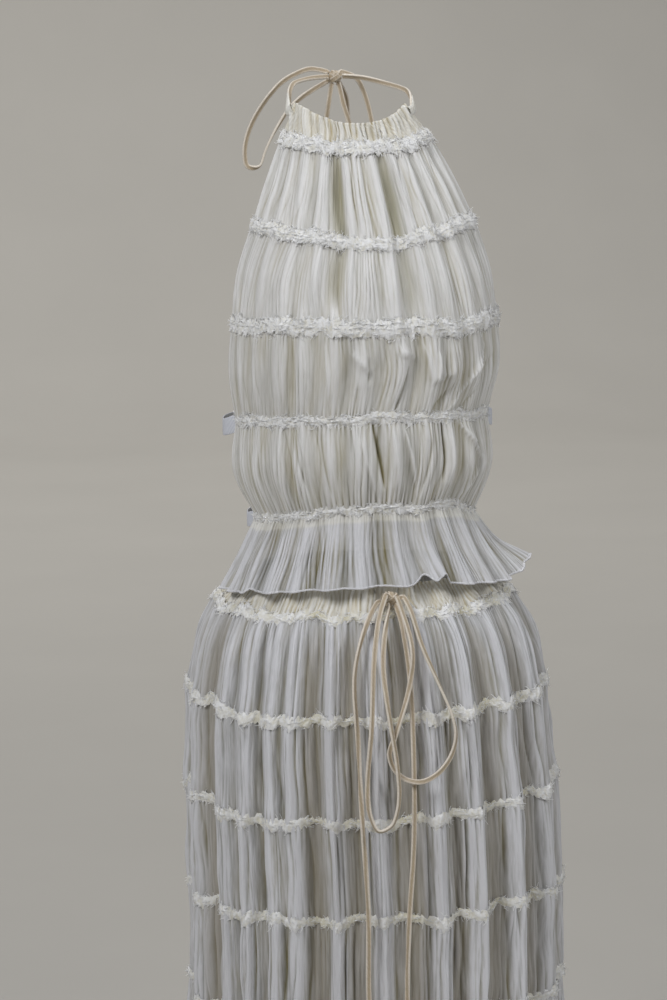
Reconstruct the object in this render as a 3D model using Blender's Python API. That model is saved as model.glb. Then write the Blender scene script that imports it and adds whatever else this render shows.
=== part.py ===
"""Two-piece halter dress: a gathered halter top with an open back, and a tiered drawstring skirt.

Run it with blender --background --python part.py, or from Blender's text editor.
+Z is up, the garment faces -Y and +X is the wearer's left. The origin is the middle of the
neck loop, where the wearer holds the top up. The tables and routes below are in millimetres,
and every mesh is made in metres.
"""

import math
from collections import namedtuple

import bmesh
import bpy
import numpy as np

MM = 0.001

# Cloth and seams
CLOTH = 1.2
LINING = 1.0
NECK_CASING = 4.0
WAIST_CASING = 2.6
SEAM_GAP = 0.3
SAMPLES_PER_FOLD = 4
OUTLINE_POWER = 2.25

# A frill is a narrow strip that stands proud of the seam it covers
FRILL_HALF_HEIGHT = 6.5
FRILL_FLARE = 2.0

# Elastic straps across the open back. Each starts at the top's side edge, level with a frill,
# and runs out on to the body's side, body_out beyond the row's outline and drop lower.
STRAP_THICKNESS = 1.5
STRAP_SAMPLES = 24
STRAP_RAMP = 0.04
Strap = namedtuple("Strap", "name row back_depth body_out top drop width")
STRAPS = (
    Strap("upper", "frill_4", 92, 12, 4, 6, 17),
    Strap("lower", "frill_5", 84, 7, 4, 3, 15),
)

# Lining that shows through the peplum, just under the waist seam
LINING_BAND_HEIGHT = 14.0
LINING_SAMPLES = 26

# Cords
CORD_DIAMETER = 5.0
CORD_STEP = 3.2 * CORD_DIAMETER
CORD_LEAD = 4.0
CORD_GAP = 0.4

# Half-widths and depths are to the crests of the folds, from a row's own middle, and middle is
# that point's distance from the body's upright axis towards the wearer's left. Edges are the
# angles, from centre front, where the panel stops at the wearer's right and left side. frill_gap
# is the space between the row and the frill over it.
TopLevel = namedtuple(
    "TopLevel",
    "side_z front_z middle half_width depth right_edge left_edge fold_depth frill_gap",
    defaults=(0.0,),
)
TOP_LEVELS = {
    "neckline": TopLevel(-2, -23, -10, 59, 62, 80, 66, 3.0),
    "frill_1": TopLevel(-34, -44, -7, 77, 74, 74, 70, 4.0, 2.2),
    "tier_1": TopLevel(-76, -88, -5, 99, 90, 71, 71, 9.0),
    "frill_2": TopLevel(-114, -132, -3, 116, 104, 71, 72, 6.5, 1.25),
    "tier_2": TopLevel(-165, -174, -2, 129, 117, 78, 78, 8.5),
    "frill_3": TopLevel(-214, -215, -1, 135, 122, 80, 81, 4.5, 1.35),
    "tier_3": TopLevel(-264, -260, -2, 137, 120, 80, 83, 8.5),
    "frill_4": TopLevel(-312, -305, -4, 126, 110, 84, 84, 3.5, 0.5),
    "tier_4": TopLevel(-365, -352, -3, 130, 110, 84, 84, 8.5),
    "frill_5": TopLevel(-411, -395, -2.5, 110, 95, 86, 86, 3.5, 0.55),
    "peplum": TopLevel(-449, -434, -1, 131, 103, 86, 86, 7.0),
    "hem": TopLevel(-483, -471, 1, 153, 116, 86, 86, 8.5),
}

SkirtLevel = namedtuple(
    "SkirtLevel",
    "side_z front_z middle half_width front_depth back_depth fold_depth frill_gap",
    defaults=(0.0,),
)
SKIRT_LEVELS = {
    "top": SkirtLevel(-471, -474, -3, 127.7, 95, 97, 2.5),
    "frill_1": SkirtLevel(-496, -501, -3, 150, 113, 116, 4.5, 1.4),
    "yoke": SkirtLevel(-512, -518, -2, 161, 124, 128, 8.0),
    "frill_2": SkirtLevel(-590, -600, -1, 184, 146, 150, 13.0, 0.9),
    "frill_3": SkirtLevel(-690, -702, 2, 191, 152, 158, 16.0, 0.5),
    "frill_4": SkirtLevel(-796, -802, 5, 193, 154, 160, 18.0, 0.5),
    "frill_5": SkirtLevel(-901, -906, 4, 193, 155, 160, 19.0, 0.5),
    "tier_5": SkirtLevel(-1040, -1045, 4, 200, 163, 168, 22.0),
    "hem": SkirtLevel(-1190, -1194, 4, 210, 172, 177, 26.0),
}

# Each skirt fold runs from the waist to the hem. crest is its angle from centre front, positive
# towards the wearer's left, and share is how deep the trough after it is beside fold_depth.
SkirtFold = namedtuple("SkirtFold", "crest share")
SKIRT_FOLDS = (
    SkirtFold(-80, 0.9),
    SkirtFold(-59, 0.5),
    SkirtFold(-49, 0.8),
    SkirtFold(-38, 0.4),
    SkirtFold(-30, 1.3),
    SkirtFold(-17, 1.2),
    SkirtFold(-4, 1.3),
    SkirtFold(10, 1.1),
    SkirtFold(24, 1.2),
    SkirtFold(39, 1.1),
    SkirtFold(60, 0.9),
    SkirtFold(82, 0.9),
    SkirtFold(104, 1.1),
    SkirtFold(125, 1.0),
    SkirtFold(147, 1.2),
    SkirtFold(169, 1.0),
    SkirtFold(190, 1.1),
    SkirtFold(212, 1.0),
    SkirtFold(234, 1.2),
    SkirtFold(257, 1.0),
)

# Each fold of the top takes this share of the panel's width. upper is how deep it is in the two
# tiers over the bust, lower in the two tiers under it, and flare in the peplum.
TopFold = namedtuple("TopFold", "width upper lower flare")
TOP_FOLDS = (
    TopFold(0.9, 0.6, 0.8, 1.0),
    TopFold(1.0, 0.8, 1.0, 0.7),
    TopFold(1.1, 0.7, 0.9, 1.1),
    TopFold(0.9, 1.1, 1.1, 0.8),
    TopFold(1.1, 1.7, 0.8, 1.2),
    TopFold(0.9, 0.8, 1.0, 0.7),
    TopFold(1.0, 1.1, 1.2, 1.3),
    TopFold(1.1, 1.7, 1.0, 0.9),
    TopFold(0.9, 0.9, 1.2, 1.2),
    TopFold(1.1, 1.2, 0.8, 0.8),
    TopFold(1.0, 0.8, 1.2, 1.1),
    TopFold(1.1, 0.9, 1.3, 0.9),
    TopFold(0.9, 0.6, 0.9, 1.0),
)

# The peplum's free corner at the wearer's left swings out and up
CORNER_START = 0.80
CORNER_OUT = {"peplum": 4.0, "hem": 15.0}
CORNER_UP = {"peplum": 5.0, "hem": 20.0}

# Cord routes. A knot is named by its middle and its half sizes.
NECK_KNOT = (-12.0, 66.0, 22.0)
NECK_KNOT_SIZE = (8.0, 6.5, 7.0)
WAIST_KNOT = (5.0, -107.0, -484.0)
WAIST_KNOT_SIZE = (11.0, 7.5, 8.5)

IVORY = (0.86, 0.85, 0.76, 1.0)
SHEER = (0.82, 0.81, 0.74, 1.0)
FRILL_WHITE = (0.90, 0.89, 0.83, 1.0)
STRAP_WHITE = (0.88, 0.89, 0.92, 1.0)
CORD_BEIGE = (0.74, 0.66, 0.52, 1.0)


def clear_scene():
    for obj in list(bpy.data.objects):
        bpy.data.objects.remove(obj, do_unlink=True)


def cloth_material(name, colour, roughness=0.85):
    """A matt woven cloth of one colour."""
    material = bpy.data.materials.new(name)
    material.use_nodes = True
    shader = material.node_tree.nodes["Principled BSDF"]
    shader.inputs["Base Color"].default_value = colour
    shader.inputs["Roughness"].default_value = roughness
    shader.inputs["Metallic"].default_value = 0.0
    material.diffuse_color = colour
    return material


def outline(angle, half_width, front_depth, back_depth):
    """Points of the body's outline, and their outward normals, at angles from centre front."""
    sine, cosine = np.sin(angle), np.cos(angle)
    depth = np.where(cosine >= 0, front_depth, back_depth)
    x = half_width * np.sign(sine) * np.abs(sine) ** (2 / OUTLINE_POWER)
    y = -depth * np.sign(cosine) * np.abs(cosine) ** (2 / OUTLINE_POWER)
    normal = np.stack([sine / half_width, -cosine / depth], axis=1)
    normal /= np.linalg.norm(normal, axis=1)[:, None]
    return np.stack([x, y], axis=1), normal


def height(angle, side_z, front_z):
    """A row dips or rises from its side height to its height at centre front."""
    facing = np.clip(np.cos(angle), 0, None)
    return side_z + (front_z - side_z) * facing**2


def fold_samples(edges, shares):
    """Places along the folds, and how far into a trough each one is, from 0 to the fold's share."""
    step = np.arange(SAMPLES_PER_FOLD) / SAMPLES_PER_FOLD
    widths = np.diff(edges)
    places = (edges[:-1, None] + widths[:, None] * step).ravel()
    into = (np.asarray(shares)[:, None] * (0.5 - 0.5 * np.cos(2 * math.pi * step))).ravel()
    return places, into


def skirt_ring(level):
    """The outer points of one row of the skirt, once round."""
    crests = [fold.crest for fold in SKIRT_FOLDS]
    edges = np.radians(np.array(crests + [crests[0] + 360.0]))
    angle, into = fold_samples(edges, [fold.share for fold in SKIRT_FOLDS])
    at, normal = outline(angle, level.half_width, level.front_depth, level.back_depth)
    at = at - normal * (into * level.fold_depth)[:, None] + (level.middle, 0)
    return np.column_stack([at, height(angle, level.side_z, level.front_z)])


def top_ring(name):
    """The outer points of one row of the top, from the wearer's right edge to the left edge."""
    level = TOP_LEVELS[name]
    widths = np.array([fold.width for fold in TOP_FOLDS])
    edges = np.concatenate([[0.0], np.cumsum(widths) / widths.sum()])
    if name in ("peplum", "hem"):
        shares = [fold.flare for fold in TOP_FOLDS]
    elif name in ("neckline", "frill_1", "tier_1", "frill_2", "tier_2", "frill_3"):
        shares = [fold.upper for fold in TOP_FOLDS]
    else:
        shares = [fold.lower for fold in TOP_FOLDS]
    place, into = fold_samples(edges, shares)
    place, into = np.append(place, 1.0), np.append(into, 0.0)
    span = level.right_edge + level.left_edge
    angle = np.radians(place * span - level.right_edge)
    at, normal = outline(angle, level.half_width, level.depth, level.depth)
    at = at - normal * (into * level.fold_depth)[:, None] + (level.middle, 0)
    z = height(angle, level.side_z, level.front_z)
    if name in CORNER_OUT:
        swing = np.clip((place - CORNER_START) / (1 - CORNER_START), 0, 1) ** 2
        at = at + normal * (swing * CORNER_OUT[name])[:, None]
        z = z + swing * CORNER_UP[name]
    return np.column_stack([at, z])


def moved_out(ring, distance, closed):
    """The ring with each point moved across the line through its neighbours, outwards."""
    if closed:
        before, after = np.roll(ring, 1, axis=0), np.roll(ring, -1, axis=0)
    else:
        before = np.vstack([ring[:1], ring[:-1]])
        after = np.vstack([ring[1:], ring[-1:]])
    into = ring[:, :2] - before[:, :2]
    out = after[:, :2] - ring[:, :2]
    into = np.where(np.linalg.norm(into, axis=1)[:, None] < 1e-9, out, into)
    out = np.where(np.linalg.norm(out, axis=1)[:, None] < 1e-9, into, out)
    into /= np.linalg.norm(into, axis=1)[:, None]
    out /= np.linalg.norm(out, axis=1)[:, None]
    along = into + out
    along /= np.linalg.norm(along, axis=1)[:, None]
    mitre = np.clip((along * into).sum(axis=1), 0.5, 1.0)
    across = np.column_stack([along[:, 1], -along[:, 0]]) / mitre[:, None]
    moved = ring.copy()
    moved[:, :2] += across * np.broadcast_to(distance, len(ring))[:, None]
    return moved


def lowered(ring, drop):
    """The ring moved straight down."""
    return ring - np.array([0.0, 0.0, drop])


def between(ring, other, rise):
    """The ring's points slid along the cloth towards another row, by a height in millimetres."""
    gap = np.abs(other[:, 2] - ring[:, 2])
    return ring + (other - ring) * (rise / gap)[:, None]


def add_solid(name, points, faces, material):
    """One closed piece from points in millimetres, with its faces turned outwards."""
    mesh = bpy.data.meshes.new(name)
    mesh.from_pydata((np.asarray(points) * MM).tolist(), [], faces)
    shaped = bmesh.new()
    shaped.from_mesh(mesh)
    bmesh.ops.recalc_face_normals(shaped, faces=shaped.faces)
    shaped.to_mesh(mesh)
    shaped.free()
    mesh.shade_smooth()
    mesh.set_sharp_from_angle(angle=math.radians(50))
    mesh.materials.append(material)
    obj = bpy.data.objects.new(name, mesh)
    bpy.context.scene.collection.objects.link(obj)
    return obj


def wall(name, rings, thickness, closed, material):
    """A cloth wall: the rings are its outer face from top to bottom, and it is thick inwards."""
    inner = [moved_out(ring, -thickness, closed) for ring in rings]
    count, rows = len(rings[0]), len(rings)
    points = np.vstack(rings + inner)
    inner_start = rows * count
    steps = count if closed else count - 1
    faces = []
    for i in range(steps):
        j = (i + 1) % count
        for row in range(rows - 1):
            upper, lower = row * count, (row + 1) * count
            faces.append((upper + i, lower + i, lower + j, upper + j))
            upper, lower = upper + inner_start, lower + inner_start
            faces.append((upper + i, upper + j, lower + j, lower + i))
        last = (rows - 1) * count
        faces.append((i, j, inner_start + j, inner_start + i))
        faces.append((last + i, inner_start + last + i, inner_start + last + j, last + j))
    if not closed:
        for row in range(rows - 1):
            upper, lower = row * count, (row + 1) * count
            faces.append((upper, inner_start + upper, inner_start + lower, lower))
            upper, lower = upper + count - 1, lower + count - 1
            faces.append((upper, lower, inner_start + lower, inner_start + upper))
    return add_solid(name, points, faces, material)


def frill(name, above, seam, below, gap, closed, material):
    """A strip over a seam, made from the panel's own points slid up and down and moved out."""
    count = len(seam)
    fold_step = np.arange(count) % SAMPLES_PER_FOLD / SAMPLES_PER_FOLD
    crest = 0.5 + 0.5 * np.cos(2 * math.pi * fold_step)
    stand_off = gap + CLOTH + FRILL_FLARE * crest
    upper = moved_out(between(seam, above, FRILL_HALF_HEIGHT), stand_off, closed)
    lower = moved_out(between(seam, below, FRILL_HALF_HEIGHT), stand_off + 0.6, closed)
    return wall(name, [upper, lower], CLOTH, closed, material)


def make_top(ivory, sheer, white):
    """Neck casing, four gathered tiers, five frills, the peplum and the lining's edge."""
    rings = {name: top_ring(name) for name in TOP_LEVELS}
    wall("neck_casing", [rings["neckline"], rings["frill_1"]], NECK_CASING, False, ivory)
    for number in (1, 2, 3, 4):
        panel = [
            lowered(rings[f"frill_{number}"], SEAM_GAP),
            rings[f"tier_{number}"],
            rings[f"frill_{number + 1}"],
        ]
        wall(f"bodice_tier_{number}", panel, CLOTH, False, ivory)
    flounce = [lowered(rings["frill_5"], SEAM_GAP), rings["peplum"], rings["hem"]]
    wall("peplum", flounce, CLOTH, False, sheer)
    order = list(TOP_LEVELS)
    for number in (1, 2, 3, 4, 5):
        at = order.index(f"frill_{number}")
        above, below = rings[order[at - 1]], rings[order[at + 1]]
        seam = rings[f"frill_{number}"]
        gap = TOP_LEVELS[f"frill_{number}"].frill_gap
        frill(f"bodice_frill_{number}", above, seam, below, gap, False, white)


def make_lining(ivory):
    """The lower edge of the bodice's lining, close inside the waist seam and the peplum."""
    waist = TOP_LEVELS["frill_5"]
    deepest = max(fold.flare for fold in TOP_FOLDS)
    inset = waist.fold_depth * deepest + CLOTH + SEAM_GAP
    angle = np.radians(np.linspace(-waist.right_edge, waist.left_edge, LINING_SAMPLES + 1))
    at, normal = outline(angle, waist.half_width, waist.depth, waist.depth)
    z = height(angle, waist.side_z, waist.front_z) - SEAM_GAP
    upper = np.column_stack([at - normal * inset + (waist.middle, 0), z])
    lower = lowered(upper, LINING_BAND_HEIGHT)
    wall("lining_edge", [upper, lower], LINING, False, ivory)


def make_straps(white):
    """Two flat elastics that cross the open back, from one side edge of the top to the other."""
    for strap in STRAPS:
        level = TOP_LEVELS[strap.row]
        gap = math.degrees(2 * SEAM_GAP / level.depth)
        first, last = level.left_edge + gap, 360 - level.right_edge - gap
        along = 0.5 - 0.5 * np.cos(math.pi * np.linspace(0, 1, STRAP_SAMPLES + 1))
        angle = np.radians(first + (last - first) * along)
        at, normal = outline(angle, level.half_width, level.depth, strap.back_depth)
        rise = np.clip(np.minimum(along, 1 - along) / STRAP_RAMP, 0, 1)
        at = at + normal * (strap.body_out * rise)[:, None] + (level.middle, 0)
        z = height(angle, level.side_z, level.front_z) + strap.top - strap.drop * rise
        upper = np.column_stack([at, z])
        rings = [upper, lowered(upper, strap.width)]
        wall(f"back_strap_{strap.name}", rings, STRAP_THICKNESS, False, white)


def make_skirt(ivory, sheer, white):
    """Waist casing, five tiers and a frill over each seam. The last tier runs on to the hem."""
    rings = {name: skirt_ring(level) for name, level in SKIRT_LEVELS.items()}
    order = list(SKIRT_LEVELS)
    wall("waist_casing", [rings["top"], rings["frill_1"]], WAIST_CASING, True, ivory)
    seams = [name for name in order if name.startswith("frill")]
    for number, name in enumerate(seams, start=1):
        start = order.index(name)
        end = order.index(seams[number]) if number < len(seams) else len(order) - 1
        panel = [lowered(rings[name], SEAM_GAP)]
        panel += [rings[row] for row in order[start + 1 : end + 1]]
        wall(f"skirt_tier_{number}", panel, CLOTH, True, sheer)
        above, below = rings[order[start - 1]], rings[order[start + 1]]
        gap = SKIRT_LEVELS[name].frill_gap
        frill(f"skirt_frill_{number}", above, rings[name], below, gap, True, white)


def smooth_route(points):
    """Even points on a Catmull-Rom curve through the route. Its first and last steps stay as
    they are, so that the cord's ends face squarely what they come out of."""
    given = np.asarray(points, float)
    fine = []
    for a, b, c, d in zip(given, given[1:], given[2:], given[3:]):
        s = np.linspace(0, 1, 24, endpoint=False)[:, None]
        cubic = 2 * b + (c - a) * s + (2 * a - 5 * b + 4 * c - d) * s**2
        fine.append(0.5 * (cubic + (3 * b - a - 3 * c + d) * s**3))
    fine = np.vstack(fine + [given[-2:-1]])
    along = np.concatenate([[0], np.cumsum(np.linalg.norm(np.diff(fine, axis=0), axis=1))])
    at = np.linspace(0, along[-1], round(along[-1] / CORD_STEP) + 1)
    even = np.column_stack([np.interp(at, along, fine[:, axis]) for axis in range(3)])
    return np.vstack([given[:1], even, given[-1:]])


def cord(name, route, material):
    """A round cord along a route in millimetres, with closed ends."""
    curve = bpy.data.curves.new(name, "CURVE")
    curve.dimensions = "3D"
    curve.bevel_depth = CORD_DIAMETER / 2 * MM
    curve.bevel_resolution = 2
    curve.use_fill_caps = True
    spline = curve.splines.new("POLY")
    points = smooth_route(route) * MM
    spline.points.add(len(points) - 1)
    for point, at in zip(spline.points, points):
        point.co = (*at, 1.0)
    curve.materials.append(material)
    obj = bpy.data.objects.new(name, curve)
    bpy.context.scene.collection.objects.link(obj)
    return obj


def knot(name, middle, half_sizes, material):
    """The lump of a tied bow: a rounded solid of the knot's size."""
    mesh = bpy.data.meshes.new(name)
    shaped = bmesh.new()
    bmesh.ops.create_uvsphere(shaped, u_segments=12, v_segments=8, radius=1.0)
    for vertex in shaped.verts:
        for axis in range(3):
            vertex.co[axis] = vertex.co[axis] * half_sizes[axis] * MM
    shaped.to_mesh(mesh)
    shaped.free()
    mesh.shade_smooth()
    mesh.materials.append(material)
    obj = bpy.data.objects.new(name, mesh)
    obj.location = [value * MM for value in middle]
    bpy.context.scene.collection.objects.link(obj)
    return obj


def off_knot(middle, half_sizes, direction):
    """Two points where a strand leaves a knot squarely: one just clear of it, one further out."""
    way = np.array(direction, float)
    way /= np.linalg.norm(way)
    surface = np.array(middle) + way / np.linalg.norm(way / np.array(half_sizes))
    across = (surface - np.array(middle)) / np.array(half_sizes) ** 2
    across /= np.linalg.norm(across)
    return [surface + across * CORD_GAP, surface + across * (CORD_GAP + CORD_LEAD)]


def on_skirt(x, z, lift):
    """A point on the front of the skirt's crests, moved out by lift."""
    levels = list(SKIRT_LEVELS.values())[::-1]
    heights = [level.front_z for level in levels]
    half_width = np.interp(z, heights, [level.half_width for level in levels])
    depth = np.interp(z, heights, [level.front_depth for level in levels])
    middle = np.interp(z, heights, [level.middle for level in levels])
    angle = np.array([math.asin((x - middle) / half_width)])
    at, normal = outline(angle, half_width, depth, depth)
    return (x, at[0][1] + normal[0][1] * lift, z)


def make_neck_ties(beige):
    """The cord from both ends of the casing, tied in a bow behind the neck."""
    rings = {name: top_ring(name) for name in ("neckline", "frill_1")}
    knot("neck_knot", NECK_KNOT, NECK_KNOT_SIZE, beige)

    def leave(direction):
        return off_knot(NECK_KNOT, NECK_KNOT_SIZE, direction)

    def arrive(direction):
        return leave(direction)[::-1]

    def casing_end(end, step):
        """Two points squarely off the casing's end face, near its top, where the cord leaves."""
        outer = list(rings.values())
        inner = [moved_out(ring, -NECK_CASING, False) for ring in outer]
        upper, lower = ((out[end] + back[end]) / 2 for out, back in zip(outer, inner))
        across = np.cross(lower - upper, inner[0][end] - outer[0][end])
        across /= np.linalg.norm(across)
        across *= np.sign(across @ (outer[0][end] - outer[0][end - step]))
        start = upper + (lower - upper) * 0.2
        return [start + across * CORD_GAP, start + across * (CORD_GAP + CORD_LEAD)]

    route = casing_end(0, -1)
    route += [(-64, 22, 13), (-46, 47, 20), *arrive((-1, -0.35, 0.0))]
    cord("neck_tie_right", route, beige)
    route = casing_end(-1, 1)
    route += [(53, 14, 6), (40, 42, 13), (17, 60, 20), *arrive((1, -0.25, 0.0))]
    cord("neck_tie_left", route, beige)

    route = [*leave((-0.9, 0.5, 0.5)), (-36, 72, 30), (-64, 75, 18), (-88, 79, -10)]
    route += [(-101, 82, -38), (-103, 83, -60), (-97, 83, -71), (-88, 81, -66), (-78, 80, -42)]
    route += [(-56, 77, -8), (-32, 74, 10), *arrive((-0.8, 0.6, -0.5))]
    cord("neck_loop_right", route, beige)
    route = [*leave((0.9, 0.6, 0.4)), (12, 74, 19), (24, 78, -8), (30, 81, -46), (26, 82, -78)]
    route += [(14, 82, -88), (5, 81, -70), (3, 78, -34), (1, 76, 0), *arrive((0.6, 0.8, -0.6))]
    cord("neck_loop_left", route, beige)
    route = [*leave((-0.4, 0.1, -1)), (-19, 68, -8), (-27, 74, -60), (-33, 78, -112)]
    route += [(-31, 78, -154), (-31, 78, -158)]
    cord("neck_tail_right", route, beige)
    route = [*leave((0.5, 0.0, -1)), (-3, 66, -8), (9, 68, -52), (15, 72, -112), (12, 73, -168)]
    route += [(12, 73, -172)]
    cord("neck_tail_left", route, beige)


def make_drawstring(beige):
    """The waist drawstring's bow: two hanging loops and two long tails over the skirt's front."""
    knot("drawstring_knot", WAIST_KNOT, WAIST_KNOT_SIZE, beige)

    def leave(direction):
        return off_knot(WAIST_KNOT, WAIST_KNOT_SIZE, direction)

    def arrive(direction):
        return leave(direction)[::-1]

    near, middle, far = 9.5, 15.5, 22.0
    route = [*leave((-1, -0.25, -0.2)), on_skirt(-18, -497, 14), on_skirt(-31, -524, 12)]
    route += [on_skirt(-38, -560, near), on_skirt(-37, -620, near), on_skirt(-35, -700, near)]
    route += [on_skirt(-31, -780, near), on_skirt(-32, -860, near), on_skirt(-31, -956, near)]
    route += [on_skirt(-31, -960, near)]
    cord("drawstring_tail_right", route, beige)
    route = [*leave((0.6, -0.75, -0.8)), on_skirt(13, -511, 12), on_skirt(17, -560, near)]
    route += [on_skirt(17, -640, near), on_skirt(15, -720, near), on_skirt(9, -800, near)]
    route += [on_skirt(6, -880, near), on_skirt(8, -946, near), on_skirt(8, -950, near)]
    cord("drawstring_tail_left", route, beige)
    route = [*leave((-0.75, -1, 0.6)), on_skirt(-12, -500, 24), on_skirt(-20, -540, far)]
    route += [on_skirt(-26, -600, far), on_skirt(-31, -650, far), on_skirt(-30, -682, far)]
    route += [on_skirt(-21, -701, far), on_skirt(-9, -696, far), on_skirt(-1, -672, far)]
    route += [on_skirt(-2, -636, far), on_skirt(-8, -590, far), on_skirt(-11, -545, far)]
    route += [on_skirt(-7, -512, 22), *arrive((-0.35, -1, -0.7))]
    cord("drawstring_loop_right", route, beige)
    route = [*leave((1, -0.4, 0.1)), on_skirt(23, -496, 17), on_skirt(31, -528, 14)]
    route += [on_skirt(46, -566, middle), on_skirt(58, -600, middle), on_skirt(58, -624, middle)]
    route += [on_skirt(44, -646, middle), on_skirt(22, -656, middle), on_skirt(1, -648, middle)]
    route += [on_skirt(-8, -628, middle), on_skirt(0, -604, middle), on_skirt(14, -566, middle)]
    route += [on_skirt(19, -526, 21), *arrive((0.6, -1, 0.2))]
    cord("drawstring_loop_left", route, beige)


def main():
    clear_scene()
    ivory = cloth_material("lined_ivory_crinkle", IVORY)
    sheer = cloth_material("sheer_ivory_crinkle", SHEER)
    white = cloth_material("frayed_frill", FRILL_WHITE, 0.95)
    strap = cloth_material("strap_elastic", STRAP_WHITE, 0.7)
    beige = cloth_material("satin_cord", CORD_BEIGE, 0.45)
    make_top(ivory, sheer, white)
    make_lining(ivory)
    make_straps(strap)
    make_skirt(ivory, sheer, white)
    make_neck_ties(beige)
    make_drawstring(beige)


if __name__ == "__main__":
    main()
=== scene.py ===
"""Looks of an ivory two-piece halter dress: gathered top, tiered sheer skirt, frayed frills, cords.

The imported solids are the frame. Each cloth piece is a thin shell on its solid's form, worked out
from the same named rows and folds, with its crinkle and gathers added. Tables and routes are in
millimetres, and meshes are made in metres.
"""

import math
from collections import namedtuple

import bpy
import numpy as np
from mathutils import Matrix, Vector


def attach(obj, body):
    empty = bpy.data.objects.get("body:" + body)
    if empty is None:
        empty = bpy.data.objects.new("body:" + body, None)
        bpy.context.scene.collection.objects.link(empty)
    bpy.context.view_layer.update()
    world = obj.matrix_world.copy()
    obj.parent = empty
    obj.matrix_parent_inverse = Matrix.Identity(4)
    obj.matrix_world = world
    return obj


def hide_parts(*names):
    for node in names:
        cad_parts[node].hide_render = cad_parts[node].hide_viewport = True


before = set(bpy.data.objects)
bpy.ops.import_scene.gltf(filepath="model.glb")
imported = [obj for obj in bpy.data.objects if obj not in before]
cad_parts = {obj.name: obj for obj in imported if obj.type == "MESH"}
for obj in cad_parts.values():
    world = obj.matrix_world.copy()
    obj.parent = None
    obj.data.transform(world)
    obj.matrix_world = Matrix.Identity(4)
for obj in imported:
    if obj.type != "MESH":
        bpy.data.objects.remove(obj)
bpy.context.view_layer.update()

bl_info = {
    "name": "Two-piece halter dress",
    "version": (1, 0, 0),
    "blender": (4, 5, 0),
    "location": "3D View > Sidebar > Dress",
    "description": "Adds the cloth, frills, cords and studio of an ivory two-piece halter dress",
    "category": "Add Mesh",
}

MM = 0.001
TAU = 2 * math.pi
OUTLINE_POWER = 2.25

# Rows of the top and the skirt, as in the part's source. Depths are to the crests of the folds.
TopRow = namedtuple("TopRow", "side_z front_z middle half_width depth right_edge left_edge fold")
TOP_ROWS = {
    "neckline": TopRow(-2, -23, -10, 59, 62, 80, 66, 3.0),
    "frill_1": TopRow(-34, -44, -7, 77, 74, 74, 70, 4.0),
    "tier_1": TopRow(-76, -88, -5, 99, 90, 71, 71, 9.0),
    "frill_2": TopRow(-114, -132, -3, 116, 104, 71, 72, 6.5),
    "tier_2": TopRow(-165, -174, -2, 129, 117, 78, 78, 8.5),
    "frill_3": TopRow(-214, -215, -1, 135, 122, 80, 81, 4.5),
    "tier_3": TopRow(-264, -260, -2, 137, 120, 80, 83, 8.5),
    "frill_4": TopRow(-312, -305, -4, 126, 110, 84, 84, 3.5),
    "tier_4": TopRow(-365, -352, -3, 130, 110, 84, 84, 8.5),
    "frill_5": TopRow(-411, -395, -2.5, 110, 95, 86, 86, 3.5),
    "peplum": TopRow(-449, -434, -1, 131, 103, 86, 86, 7.0),
    "hem": TopRow(-483, -471, 1, 153, 116, 86, 86, 8.5),
}
SkirtRow = namedtuple("SkirtRow", "side_z front_z middle half_width front_depth back_depth fold")
SKIRT_ROWS = {
    "top": SkirtRow(-471, -474, -3, 127.7, 95, 97, 2.5),
    "frill_1": SkirtRow(-496, -501, -3, 150, 113, 116, 4.5),
    "yoke": SkirtRow(-512, -518, -2, 161, 124, 128, 8.0),
    "frill_2": SkirtRow(-590, -600, -1, 184, 146, 150, 13.0),
    "frill_3": SkirtRow(-690, -702, 2, 191, 152, 158, 16.0),
    "frill_4": SkirtRow(-796, -802, 5, 193, 154, 160, 18.0),
    "frill_5": SkirtRow(-901, -906, 4, 193, 155, 160, 19.0),
    "tier_5": SkirtRow(-1040, -1045, 4, 200, 163, 168, 22.0),
    "hem": SkirtRow(-1190, -1194, 4, 210, 172, 177, 26.0),
}

# Folds of the skirt, once round from the wearer's right: the angle of the crest before each
# trough, in degrees from centre front, and the trough's depth as a share of the row's fold
SkirtFold = namedtuple("SkirtFold", "crest share")
SKIRT_FOLDS = tuple(
    SkirtFold(*row)
    for row in (
        (-80, 0.9), (-59, 0.5), (-49, 0.8), (-38, 0.4), (-30, 1.3), (-17, 1.2), (-4, 1.3),
        (10, 1.1), (24, 1.2), (39, 1.1), (60, 0.9), (82, 0.9), (104, 1.1), (125, 1.0), (147, 1.2),
        (169, 1.0), (190, 1.1), (212, 1.0), (234, 1.2), (257, 1.0),
    )
)

# Folds of the top from the wearer's right to left: how wide, and the share of the row's fold in
# the upper rows, the lower ones and the peplum's. Where crinkle covers a fold in the rows above
# the peplum, its share is smaller than the part's.
TopFold = namedtuple("TopFold", "width upper lower flare")
TOP_FOLDS = tuple(
    TopFold(*row)
    for row in (
        (0.9, 0.35, 0.4, 1.0), (1.0, 0.5, 0.6, 0.7), (1.1, 0.3, 0.45, 1.1), (0.9, 0.65, 0.7, 0.8),
        (1.1, 1.7, 0.5, 1.2), (0.9, 0.35, 0.8, 0.7), (1.0, 0.5, 0.6, 1.3), (1.1, 1.6, 0.9, 0.9),
        (0.9, 0.4, 0.5, 1.2), (1.1, 0.75, 0.8, 0.8), (1.0, 0.4, 0.6, 1.1), (1.1, 0.6, 0.85, 0.9),
        (0.9, 0.4, 0.5, 1.0),
    )
)

# A trough whose share is over this has a wide floor
TOP_WIDE_SHARE = 1.4
SKIRT_WIDE_SHARE = 1.15
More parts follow.
